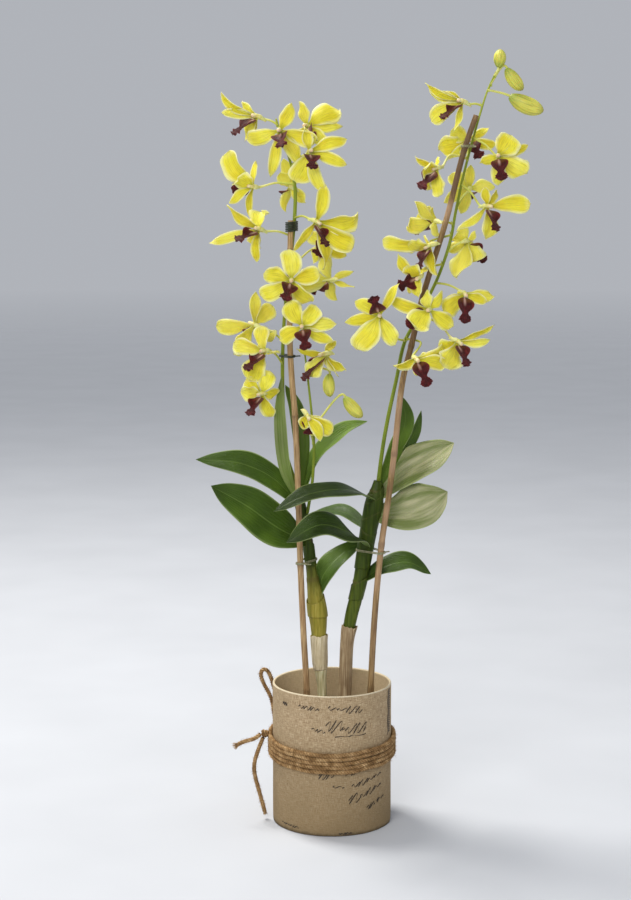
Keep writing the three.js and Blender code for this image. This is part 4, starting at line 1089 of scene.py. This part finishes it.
def chip(shape, place, size, rng):
    """One bark chip: a blocky lump with uneven faces."""
    first = len(shape.points)
    long = Vector((rng.gauss(0, 1), rng.gauss(0, 1), rng.gauss(0, 0.35))).normalized()
    flat = UP + Vector((rng.gauss(0, 0.25), rng.gauss(0, 0.25), 0))
    wide = flat.cross(long).normalized()
    thick = long.cross(wide)
    tone = rng.random()
    rings, sides = 5, 8
    for i in range(rings):
        rise = -math.cos(math.pi * (i + 0.5) / rings)
        girth = math.sqrt(1 - rise * rise) ** 0.4
        for k in range(sides):
            angle = TURN * k / sides
            wobble = 1 + rng.uniform(-0.14, 0.14)
            spot = place + long * (blocky(math.cos(angle)) * girth * size[0] * wobble)
            spot = spot + wide * (blocky(math.sin(angle)) * girth * size[1] * wobble)
            shape.point(spot + thick * (rise * size[2]), i / rings, k / sides, tone, 1.0)
    shape.join_rings(first, rings, sides)


def bark_chips(bark_paint):
    """A loose layer of chips over the medium, clear of the canes and stakes."""
    rng = random.Random(5)
    stems = [(on_route(points, MEDIUM_TOP), CANE_ROOM) for points in (LEFT_CANE, RIGHT_CANE)]
    stems += [(on_route(points, MEDIUM_TOP), STAKE_ROOM) for points in (LEFT_STAKE, RIGHT_STAKE)]
    inside = LINER_RIM_RADIUS - LINER_WALL - CHIP_ROOM
    shape = Shape()
    for _ in range(CHIPS):
        radius = inside * math.sqrt(rng.random())
        angle = rng.uniform(0, TURN)
        size = (rng.uniform(3, 7), rng.uniform(2, 4), rng.uniform(0.8, 1.8))
        spot = polar(1, angle, 0) * min(radius, inside - size[0])
        slope = max(0.0, (spot.length - MEDIUM_FLAT_RADIUS) / (inside - MEDIUM_FLAT_RADIUS))
        spot.z = MEDIUM_TOP - MEDIUM_DOME * slope + rng.uniform(-0.3, 1.2)
        if all((spot.xy - stem.xy).length >= room for stem, room in stems):
            chip(shape, spot, size, rng)
    shape.piece("bark_chips", bark_paint, slot="bark")


# Pen flourishes on the cloth: rows of plain loops and strokes, which spell nothing. Each has a start
# and a length round the pot, a height of stroke, a number of strokes, and its level and its climb.

INK_LIFT = 0.16                 # of the ink from the cloth's mean radius
FLOURISHES = [
    (-56, 7, 4, 5, 128, -1), (-34, 22, 6, 6, 128, -1), (-4, 34, 8, 7, 128.5, -3), (-20, 12, 5, 3, 107, -2),
    (-6, 16, 20, 3, 111, -1), (9, 26, 10, 5, 107, 1), (2, 32, 2, 2, 100, 1), (-14, 15, 10, 4, 61, 1),
    (12, 22, 9, 5, 63, 4), (38, 18, 8, 4, 69, 4), (0, 11, 7, 2, 50, 0), (20, 36, 8, 8, 50, 8),
    (15, 13, 13, 2, 36, 3), (29, 27, 9, 6, 39, 8), (36, 10, 9, 3, 26, 3), (48, 13, 7, 3, 30, 4),
    (-57, 22, 2, 7, 7, -1), (6, 14, 2, 5, 2.8, 0.4),
]


def flourish(shape, start, length, height, strokes, level, climb, rng):
    """One slanted running stroke round the pot."""
    steps = strokes * 16
    line = []
    drift = rng.uniform(0, 9)
    for i in range(steps + 1):
        t = i / steps
        phase = TURN * strokes * t
        swell = 0.55 + 0.9 * noise.noise(Vector((t * strokes * 0.45, drift, 2.0)))
        rise = height * max(0.22, swell) * 0.5 * math.sin(phase)
        along = start + length * (t + 0.2 / strokes * math.sin(phase * 0.5 + drift)) + 0.55 * rise
        line.append((along, level + climb * t + rise))
    pen_line(shape, line, lambda share: 0.28 + 0.17 * math.cos(TURN * strokes * share))


def pen_line(shape, line, half_width):
    """A flat stroke of ink on the outside of the pot, through points of arc length and height."""
    first = len(shape.points)
    last = len(line) - 1
    for i, (arc, height) in enumerate(line):
        here, there = line[max(i - 1, 0)], line[min(i + 1, last)]
        way = Vector((there[0] - here[0], there[1] - here[1])).normalized()
        for sign in (-1, 1):
            wide = max(0.12, picked(half_width, i / last)) * sign
            angle = (arc - way.y * wide) / POT_RADIUS - math.pi / 2
            spot = polar(POT_RADIUS + INK_LIFT, angle, height + way.x * wide)
            shape.point(spot, i / last, sign, 0.5, 1.0)
    for i in range(last):
        a = first + 2 * i
        shape.faces.append((a, a + 2, a + 3, a + 1))


def pen_flourishes(ink_paint):
    """The flourishes, and a short ladder of rungs with a wavering stroke beside it."""
    rng = random.Random(3)
    shape = Shape()
    for row in FLOURISHES:
        flourish(shape, *row, rng)
    for k in range(20):
        height = 94 + 2.2 * k
        rung = [(70 + 6 * t / 12, height + 1.6 * math.sin(t / 12 * math.pi)) for t in range(13)]
        pen_line(shape, rung, 0.6)
    pen_line(shape, [(69.5 + 0.6 * math.sin(t / 3), 92 + t) for t in range(46)], 0.6)
    shape.piece("pen_flourishes", ink_paint)


# Stakes and canes

STAKE_SIDES = 16
STAKE_STEP = 3
CANE_SIDES = 36
CANE_STEPS = 120
CANE_GROOVES = 9
HUSK_STEPS = 36
HUSK_SIDES = 48
HUSK_LAP = 1.06                 # turns of a husk round its cane
FOOT_SWELL = 0.9                # how much fuller a cane is just above the growing medium
SWELL_HEIGHT = MEDIUM_TOP + 28
SWELL_REACH = 24


def stake(name, node, points, paint):
    """A bamboo cane stake: straight fibres, and a dark ridge at every second point of its route."""
    route = Route(points)
    knuckles = [i / route.last for i in range(1, route.last + 1, 2)]
    length = length_of([Vector(point) for point in points])

    def ridge(share):
        nearest = min(abs(share - knuckle) for knuckle in knuckles) * length
        return math.exp(-(nearest / 2.2) ** 2)

    def radius(share, turn):
        plain = STAKE_RADIUS * (1.03 - 0.14 * share) + 0.08 * math.sin(turn * 6 * math.pi + share * 9)
        return plain + (STAKE_KNUCKLE - STAKE_RADIUS) * ridge(share)

    shape = Shape()
    centres = route.line(round(length / STAKE_STEP))
    tube(shape, centres, radius, STAKE_SIDES, face=lambda share: 0.8 * ridge(share))
    shape.piece(name, paint, (node,), "bamboo")


def cane(name, node, points, rings, paint):
    """A jointed cane with shallow grooves and a raised ring where each old leaf sat."""

    def level(share):
        return lerp(points[0][2], points[-1][2], share)

    def ring(share):
        return max([math.exp(-((level(share) - each) / 1.6) ** 2) for each in rings])

    def radius(share, turn):
        grooves = 0.12 * math.sin(TURN * turn * CANE_GROOVES + 3 * share)
        wear = 0.3 * ripple(1, turn * 6.283, share * 14)
        full = route_radius(points, share) - 0.3 + grooves + wear + 0.5 * ring(share)
        return full + FOOT_SWELL * max(0.0, 1 - abs(level(share) - SWELL_HEIGHT) / SWELL_REACH)

    shape = Shape()
    tube(shape, Route(points).line(CANE_STEPS), radius, CANE_SIDES, face=ring)
    shape.piece(name, paint, (node,), "leaf")


def husk(name, node, points, spec, paint, rng):
    """A dry sheath: a creased sleeve round the cane, with a torn upper edge and a lapped side."""
    levels = [lerp(spec["low"], spec["high"], i / HUSK_STEPS) for i in range(HUSK_STEPS + 1)]
    stations = [at_height(points, level) for level in levels]
    around = frames([spot for _, spot in stations])
    tears = [rng.uniform(0.0, 2.4) for _ in range(HUSK_SIDES)]
    grid = []
    for i, (share, spot) in enumerate(stations):
        _, side, other = around[i]
        upward = i / HUSK_STEPS
        row = []
        for k in range(HUSK_SIDES + 1):
            turn = k / HUSK_SIDES * HUSK_LAP
            angle = TURN * turn
            crease = ripple(2.2, angle, upward * 2 + spec["low"])
            lap = 0.7 * max(0.0, turn - 0.94) / 0.12
            radius = route_radius(points, share) + spec["ease"] - 0.7 + 0.5 * crease + lap
            if upward > 0.8:
                radius += 0.9 * (upward - 0.8) / 0.2 * max(0.0, crease + 0.2)
            torn = (upward ** 10) * (tears[k % HUSK_SIDES] + tears[(k + 1) % HUSK_SIDES]) * 0.5
            row.append(swung(spot, side, other, angle, radius) - UP * torn)
        grid.append(row)
    shape = Shape()
    skin(shape, grid, 0.5, rng.random())
    shape.piece(name, paint, (node,), "dry_sheath")


# Leaves

LEAF_OUTLINE = [(0, 0.26), (0.16, 0.6), (0.38, 0.96), (0.62, 0.98), (0.85, 0.58), (1, 0.08)]
SLEEVE_WRAP = 1.04              # half turns that each side of a sleeve goes round its cane


def leaf(shape, spec, rng):
    """A strap leaf: folded along its midrib, its edges a little waved and its tip drawn in."""
    route = Route(spec["rib"])
    face = Vector(spec["face"]).normalized()
    width = spec["width"]
    tone = spec.get("tone", rng.random())
    phase = rng.uniform(0, 6)
    sway = rng.uniform(-0.06, 0.06)

    def section(share):
        along = (route.at(min(share + 0.01, 1)) - route.at(max(share - 0.01, 0))).normalized()
        across, out = sides_of(along, face)
        half = width / 2 * smooth(LEAF_OUTLINE, share) * rounding(share, 0.9, 2.5)

        def bend(v):
            lift = spec["fold"] * half * (0.25 * v * v + 0.75 * abs(v) ** 1.25)
            lift -= 0.12 * half * v ** 4
            wave = math.sin(share * 11 + phase + (1.3 if v > 0 else 0)) * abs(v) ** 2
            return half * v, lift + 0.045 * width * wave * math.sin(math.pi * share)

        spot = route.at(share) + across * (sway * width * math.sin(math.pi * share))
        return spot, across, out, bend

    blade(shape, 44, 16, section, 1.3, tone)


def clasp(shape, spec, points, rng):
    """The foot of a leaf, a sleeve wrapped round the cane and higher on the leaf's own side."""
    base = Vector(spec["rib"][0])
    out = Vector(spec["rib"][1]) - base
    toward = math.atan2(out.y, out.x)
    top = min(base.z, points[-1][2] - 8)
    bottom = top - rng.uniform(16, 26)
    tone = rng.random()
    rows, columns = 12, 28
    grid = []
    for i in range(rows + 1):
        upward = i / rows
        row = []
        for j in range(columns, -1, -1):
            v = 2 * j / columns - 1
            angle = toward + math.pi * SLEEVE_WRAP * v
            height = lerp(bottom, top + 5 * math.cos(math.pi * v) + 1, upward)
            share, centre = at_height(points, height)
            reach = route_radius(points, share) + 0.25 + 0.3 * upward ** 2 + 0.25 * abs(v)
            row.append(centre + polar(reach, angle, 0))
        grid.append(row)
    skin(shape, grid, 0.6, tone)


def foliage(side, specs, points, paint, cane_paint, seed):
    """All leaves of one cane, and the sleeves by which they clasp it, with brown upper edges."""
    rng = random.Random(seed)
    shape = Shape()
    sleeves = Shape()
    for spec in specs:
        leaf(shape, spec, rng)
        clasp(sleeves, spec, points, rng)
    shape.piece(side + "_leaves", paint, ("cane_" + side,), "leaf")
    sleeves.facts = [(*row[:3], 3 * max(0.0, row[0] - 0.9)) for row in sleeves.facts]
    sleeves.piece(side + "_leaf_sleeves", cane_paint, ("cane_" + side,), "leaf")


# Blooms

TEPAL_FULLNESS = 1.14           # the waved edges reach past the model's flatter blades
SEPAL = dict(
    outline=[(0, 0.24), (0.15, 0.4), (0.38, 0.96), (0.58, 1.04), (0.8, 0.84), (1, 0.5)],
    twist=1.2, ruffle=(0.06, 0.12), point=3.0, roundness=0.8, rows=18, columns=8,
)
PETAL = dict(
    outline=[(0, 0.16), (0.15, 0.28), (0.32, 0.74), (0.58, 1.06), (0.82, 1.02), (1, 0.74)],
    twist=0.6, ruffle=(0.09, 0.17), point=3.8, roundness=0.5, rows=20, columns=12,
)
LIP_OUTLINE = [
    (0, 0.34), (0.04, 0.6), (0.1, 0.88), (0.18, 1.05), (0.27, 1.1), (0.36, 1), (0.43, 0.8), (0.49, 0.54),
    (0.54, 0.42), (0.6, 0.46), (0.67, 0.64), (0.76, 0.8), (0.86, 0.8), (0.94, 0.7), (1, 0.5),
]
LIP_CURL = [(0, 0.35), (0.2, 0.45), (0.42, 0.55), (0.52, 0.4), (0.65, 0.15), (0.85, -0.1), (1, -0.25)]
STALK_GIRTH = [(0, 1.15), (0.25, 1.0), (0.42, 1.1), (0.52, 1.6), (0.66, 2.5), (0.78, 2.2)]
STALK_END = 0.78                # of the route from spike to column tip
COLUMN_START = 0.72             # of the same route
COLUMN_GIRTH = [(0, 2.1), (0.35, 2.4), (0.6, 2.0), (0.78, 2.2), (0.92, 1.7), (1, 0.5)]
BUD_GIRTH = [
    (0, 0.16), (0.1, 0.3), (0.28, 0.45), (0.5, 0.5), (0.72, 0.46), (0.88, 0.32), (0.96, 0.19), (1, 0.06),
]


def bearings(spec):
    """A bloom's centre, its gaze, and the way toward its lip, square to the gaze."""
    turn, lift = (math.radians(angle) for angle in spec["faces"])
    level = math.cos(lift)
    looks = Vector((math.sin(turn) * level, -math.cos(turn) * level, math.sin(lift)))
    reach = Vector(spec["lip"])
    return Vector(spec["at"]), looks, (reach - looks * reach.dot(looks)).normalized()


def set_off(centre, looks, down, spot):
    return centre + looks * spot["ahead"] + down * spot["down"]


def tepal(shape, centre, looks, spec, rng):
    """One sepal or petal: a spoon of satin with a narrow claw, a cupped middle and a curled tip."""
    reach = Vector(spec[:3])
    width = spec[3] * TEPAL_FULLNESS
    size = reach.length
    curve = (centre, centre + reach * 0.5 + looks * (TEPAL_BULGE * size), centre + reach)
    kind = PETAL if spec[3] >= PETAL_FROM_WIDTH else SEPAL
    side = 1 if looks.dot(FRONT) >= 0 else -1
    face = (looks + FRONT * (side * TURN_TO_LIGHT)).normalized()
    cup = rng.uniform(-0.4, 0.6)
    curl = rng.uniform(-0.2, 0.4)
    twist = rng.uniform(-kind["twist"], kind["twist"])
    ruffle = rng.uniform(*kind["ruffle"])
    sway = rng.uniform(-0.07, 0.07) * size
    phase = rng.uniform(0, 6.3)
    waves = rng.uniform(8, 13)

    def section(step):
        share = step ** 0.9
        across, out = sides_of(bezier_heading(*curve, share), face)
        angle = twist * share * share
        across, out = swung(ORIGIN, across, out, angle), swung(ORIGIN, out, -across, angle)
        half = width / 2 * smooth(kind["outline"], share)
        half *= rounding(share, 0.7, kind["point"], kind["roundness"])

        def bend(v):
            lift = (cup + 0.35 * (1 - share) ** 3) * half * v * v
            wave = math.sin(waves * share + phase + (2.2 if v > 0 else 0))
            lift += ruffle * width * min(1, share * 1.5) * v * v * wave
            return half * v, lift - 0.05 * half * (1 - abs(v)) ** 4

        spot = bezier(*curve, share) - out * (curl * size * max(0.0, share - 0.45) ** 2 * 1.6)
        return spot + across * (sway * math.sin(math.pi * share) ** 2), across, out, bend

    blade(shape, kind["rows"], kind["columns"], section, 0.75, rng.random())


def lip(shape, spec, rng):
    """A lip of three lobes: two round ones that curl up, and a ruffled middle one."""
    centre, looks, down = bearings(spec)
    start = set_off(centre, looks, down, LIP_START)
    end = centre + Vector(spec["lip"])
    curve = (start, start.lerp(end, 0.5) + looks * LIP_ARCH, end)
    face = (looks - down).normalized()
    phase = rng.uniform(0, 6.3)
    tone = rng.random()

    def section(share):
        across, out = sides_of(bezier_heading(*curve, share), face)
        half = LIP_WIDTH / 2 * smooth(LIP_OUTLINE, share) * rounding(share, 0.74, 2.2)
        frill = max(0.0, share - 0.56)

        def bend(v):
            lift = smooth(LIP_CURL, share) * (half * v) ** 2 / (LIP_WIDTH / 2)
            lift += 0.5 * math.exp(-((abs(v) - 0.16) / 0.09) ** 2) * max(0.0, 1 - share / 0.7)
            wave = math.sin(share * 38 + phase + (1.6 if v > 0 else 0))
            lift += 4.4 * frill * wave * abs(v) ** 1.5
            notch = math.sin(share * 66 + 2 * phase + (2 if v > 0 else 0))
            return half * v * (1 + 0.3 * frill * notch), lift

        return bezier(*curve, share), across, out, bend

    blade(shape, 48, 18, section, 0.9, tone)


def pedicel(stems, columns, spike, spec, tone):
    """The stalk with its spur, and the column in a colour of its own."""
    centre, looks, down = bearings(spec)
    foot = on_route(spike, spec["leaves"])
    spur = set_off(centre, looks, down, SPUR)
    tip = set_off(centre, looks, down, COLUMN_TIP)
    bend = foot.lerp(spur, 0.5) + UP * ((foot - spur).length * PEDICEL_ARCH)
    if "via" in spec:
        bend = Vector(spec["via"])
    route = Route([foot, bend, spur, centre, tip])

    def stalk(share, turn):
        return smooth(STALK_GIRTH, STALK_END * share)

    def column(share, turn):
        return smooth(COLUMN_GIRTH, share) * (1 - 0.18 * math.sin(turn * math.pi) ** 2)

    line = [route.at(STALK_END * i / 40) for i in range(41)]
    tube(stems, line, stalk, 10, lambda share: tone + 0.32 * share)
    heel = spur + (down * 0.7 - looks * 0.7).normalized() * 3.5
    spur_line = arch(spur.lerp(centre, 0.6), spur + looks, heel, 8)
    tube(stems, spur_line, lambda share, turn: lerp(2.4, 0.7, share), 10, tone + 0.5)
    head = [route.at(COLUMN_START + (1 - COLUMN_START) * i / 14) for i in range(15)]
    tube(columns, head, column, 12, tone)


def bract(shape, spike, height, toward):
    """The small papery scale under a pedicel."""
    foot = on_route(spike, height)
    out = level_way(foot, Vector(toward))
    line = [foot + UP * (-2 + 1.4 * i) + out * (0.9 + 0.1 * i * i) for i in range(5)]
    tube(shape, line, lambda share, turn: lerp(1.0, 0.2, share), 6, 0.3)


def bud(shape, stems, spike, spec, rng):
    """A closed bud with the seams of its three outer sepals and a drawn-out tip."""
    foot, tip = Vector(spec["foot"]), Vector(spec["tip"])
    bow = (tip - foot).cross(FRONT).normalized() * (spec["width"] * 0.08)
    line = [foot.lerp(tip, i / 24) + bow * math.sin(math.pi * (i / 24)) for i in range(25)]

    def radius(share, turn):
        seam = abs(math.sin(turn * 3 * math.pi + 0.6)) ** 0.35
        return spec["width"] * smooth(BUD_GIRTH, share) * (0.9 + 0.1 * seam)

    tube(shape, line, radius, 24, rng.random())
    stalk = Route([on_route(spike, spec["leaves"]), foot.lerp(tip, -0.14), foot.lerp(tip, 0.2)])
    tube(stems, stalk.line(16), lambda share, turn: 1.05 + 0.5 * share ** 3, 10, 0.45)


def spray(side, spike, blooms, buds, paints, rng):
    """All of one spray: spike, pedicels, columns, tepals, lips and buds."""
    stems, columns, tepals, closed = Shape(), Shape(), Shape(), Shape()

    def girth(share, turn):
        return route_radius(spike, share) * (0.94 - 0.2 * share)

    tube(stems, Route(spike).line(140), girth, 14, lambda share: 0.02 + 0.2 * share)
    for number, spec in enumerate(blooms, 1):
        centre, looks, _ = bearings(spec)
        pedicel(stems, columns, spike, spec, 0.3 + rng.uniform(-0.05, 0.1))
        bract(stems, spike, spec["leaves"], spec["at"])
        for each in spec["tepals"]:
            tepal(tepals, centre, looks, each, rng)
        petal = Shape()
        lip(petal, spec, rng)
        petal.piece(f"lip_of_{side}_bloom_{number:02d}", paints["lip"], (f"lip_{side}_{number:02d}",), "lip")
    for spec in buds:
        bud(closed, stems, spike, spec, rng)
        bract(stems, spike, spec["leaves"], spec["foot"])
    parts = [(stems, "spike"), (columns, "columns"), (tepals, "tepals")]
    if buds:
        parts.append((closed, "buds"))
    for shape, part in parts:
        shape.piece(f"{side}_{part}", paints[part], (f"spray_{side}",), "tepal")


# Ties

TIE_STEPS = 40                  # points in one turn of wire


def wire_tie(name, height, first, second, radius, turns, wire, paint, ends):
    """Wire wound round a stake and a stem, with its two ends, if any, twisted together."""
    a, b = on_route(first, height), on_route(second, height)
    along = level_way(a, b)
    across = UP.cross(along)
    path = []
    for i in range(TIE_STEPS * turns + 1):
        angle = TURN * i / TIE_STEPS
        middle, girth = (a, STAKE_RADIUS) if math.cos(angle) < 0 else (b, radius)
        spot = swung(middle, along, across, angle, girth + TIE_ROOM + wire / 2)
        spot.z = height + (i / TIE_STEPS - turns / 2) * wire * 1.15
        path.append(spot)
    shape = Shape()
    tube(shape, path, wire / 2, 8)
    start = path[len(path) // 2 - 10]
    for phase in (0, math.pi) if ends else ():
        twist = [swung(start - across * (i * 0.6), along, UP, i * 1.1 + phase, 0.45) for i in range(13)]
        tube(shape, twist, wire / 2.6, 8)
    shape.piece(name + "_wire", paint, (name,), "tie_wire")


# Stage. The floor fades into the pale world far behind, so no edge shows.

FLOOR_REACH = 9                 # metres
LIGHT_AIM = Vector((0, 0, 0.4))


def floor_paint():
    paint = Paint("floor_paint", Roughness=0.9)
    far = paint.math("DIVIDE", paint.distance(paint.place()), FLOOR_REACH)
    paint.link("Alpha", paint.ramp(far, (0.12, 1.0), (0.95, 0.0)))
    paint.base(paint.noise(6.0, 2.0), (0.3, "c6c8cc"), (0.7, "cbcdd1"))
    return paint.done()


def make_floor():
    mesh = bpy.data.meshes.new("floor")
    far = FLOOR_REACH
    mesh.from_pydata([(-far, -far, 0), (far, -far, 0), (far, far, 0), (-far, far, 0)], [], [(0, 1, 2, 3)])
    mesh.materials.append(floor_paint())
    floor = bpy.data.objects.new("floor", mesh)
    bpy.context.collection.objects.link(floor)


def area_light(name, place, size, watts, color):
    data = bpy.data.lights.new(name, "AREA")
    data.size = size
    data.energy = watts
    data.color = color
    light = bpy.data.objects.new(name, data)
    light.location = place
    light.rotation_euler = (LIGHT_AIM - Vector(place)).to_track_quat("-Z", "Y").to_euler()
    bpy.context.collection.objects.link(light)


def make_lights():
    area_light("key", (-0.9, 0.7, 2.5), 0.8, 62, (1.0, 0.98, 0.94))
    area_light("front", (-0.9, -2.6, 1.7), 1.6, 50, (1.0, 0.99, 0.97))
    area_light("side", (2.2, -0.6, 1.2), 1.4, 4, (0.94, 0.97, 1.0))
    world = bpy.data.worlds.new("studio")
    world.use_nodes = True
    background = world.node_tree.nodes["Background"]
    background.inputs["Color"].default_value = tint("e6eaf2")
    background.inputs["Strength"].default_value = 0.55
    bpy.context.scene.world = world


# The assembly

make_camera()

jute_paint = jute()
twine_rng = random.Random(21)
for each in LOOSE_TWINE:
    loose_twine(*each, jute_paint, twine_rng)
wound_twine(jute_paint)
twine_knot(jute_paint)

pot_wall(burlap())
pen_flourishes(ink())
liner_colors = ((0.3, "161616"), (0.7, "2c2b2a"))
nursery_pot(plastic("liner_plastic", 240.0, 3.0, liner_colors, ((0.3, 0.35), (0.7, 0.6))))
bark_paint = bark()
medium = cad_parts["growing_medium"]
medium.data.materials.clear()
medium.data.materials.append(bark_paint)
bark_chips(bark_paint)

bamboo_paint = bamboo()
stake("left_stake", "stake_left", LEFT_STAKE, bamboo_paint)
stake("right_stake", "stake_right", RIGHT_STAKE, bamboo_paint)

left_cane_paint = cane_skin("left_cane_skin", ("7c7624", "968a36", "b0a24e"))
right_cane_paint = cane_skin("right_cane_skin", ("384210", "4c5916", "606a22"))
cane("left_cane", "cane_left", LEFT_CANE, (222, 250, 282, 312), left_cane_paint)
cane("right_cane", "cane_right", RIGHT_CANE, (199, 222, 246, 272, 300, 326), right_cane_paint)
husk_rng = random.Random(9)
cream_paint = dry_sheath("cream_husk", "aa997a", "cebf9a", "eadfc4")
brown_paint = dry_sheath("brown_husk", "7a6347", "9f8867", "bfab8a")
husk("left_husk", "sheath_left", LEFT_CANE, LEFT_SHEATH, cream_paint, husk_rng)
husk("right_husk", "sheath_right", RIGHT_CANE, RIGHT_SHEATH, brown_paint, husk_rng)
leaf_paint = leaf_green()
foliage("left", LEFT_LEAVES, LEFT_CANE, leaf_paint, left_cane_paint, 4)
foliage("right", RIGHT_LEAVES, RIGHT_CANE, leaf_paint, right_cane_paint, 8)

bloom_paints = dict(
    tepals=tepal_yellow(), spike=stem_green(), columns=column_cream(), lip=lip_maroon(), buds=bud_green(),
)
bloom_rng = random.Random(17)
for side, spike, blooms, buds in SPRAYS:
    spray(side, spike, blooms, buds, bloom_paints, bloom_rng)

# The top left tie is a clip of thick wire without twisted ends.
dark_tie = tie_plastic("dark_tie", "1d231b", "3a4433")
pale_tie = tie_plastic("pale_tie", "7d7a58", "a8a583")
for name, height, first, second, radius in TIES:
    is_clip = name == "tie_left_top"
    tie_paint = dark_tie if is_clip or name == "tie_left_mid" else pale_tie
    turns, wire = (6, 1.4) if is_clip else (2, 1.0)
    wire_tie(name, height, first, second, radius, turns, wire, tie_paint, not is_clip)

make_floor()
make_lights()
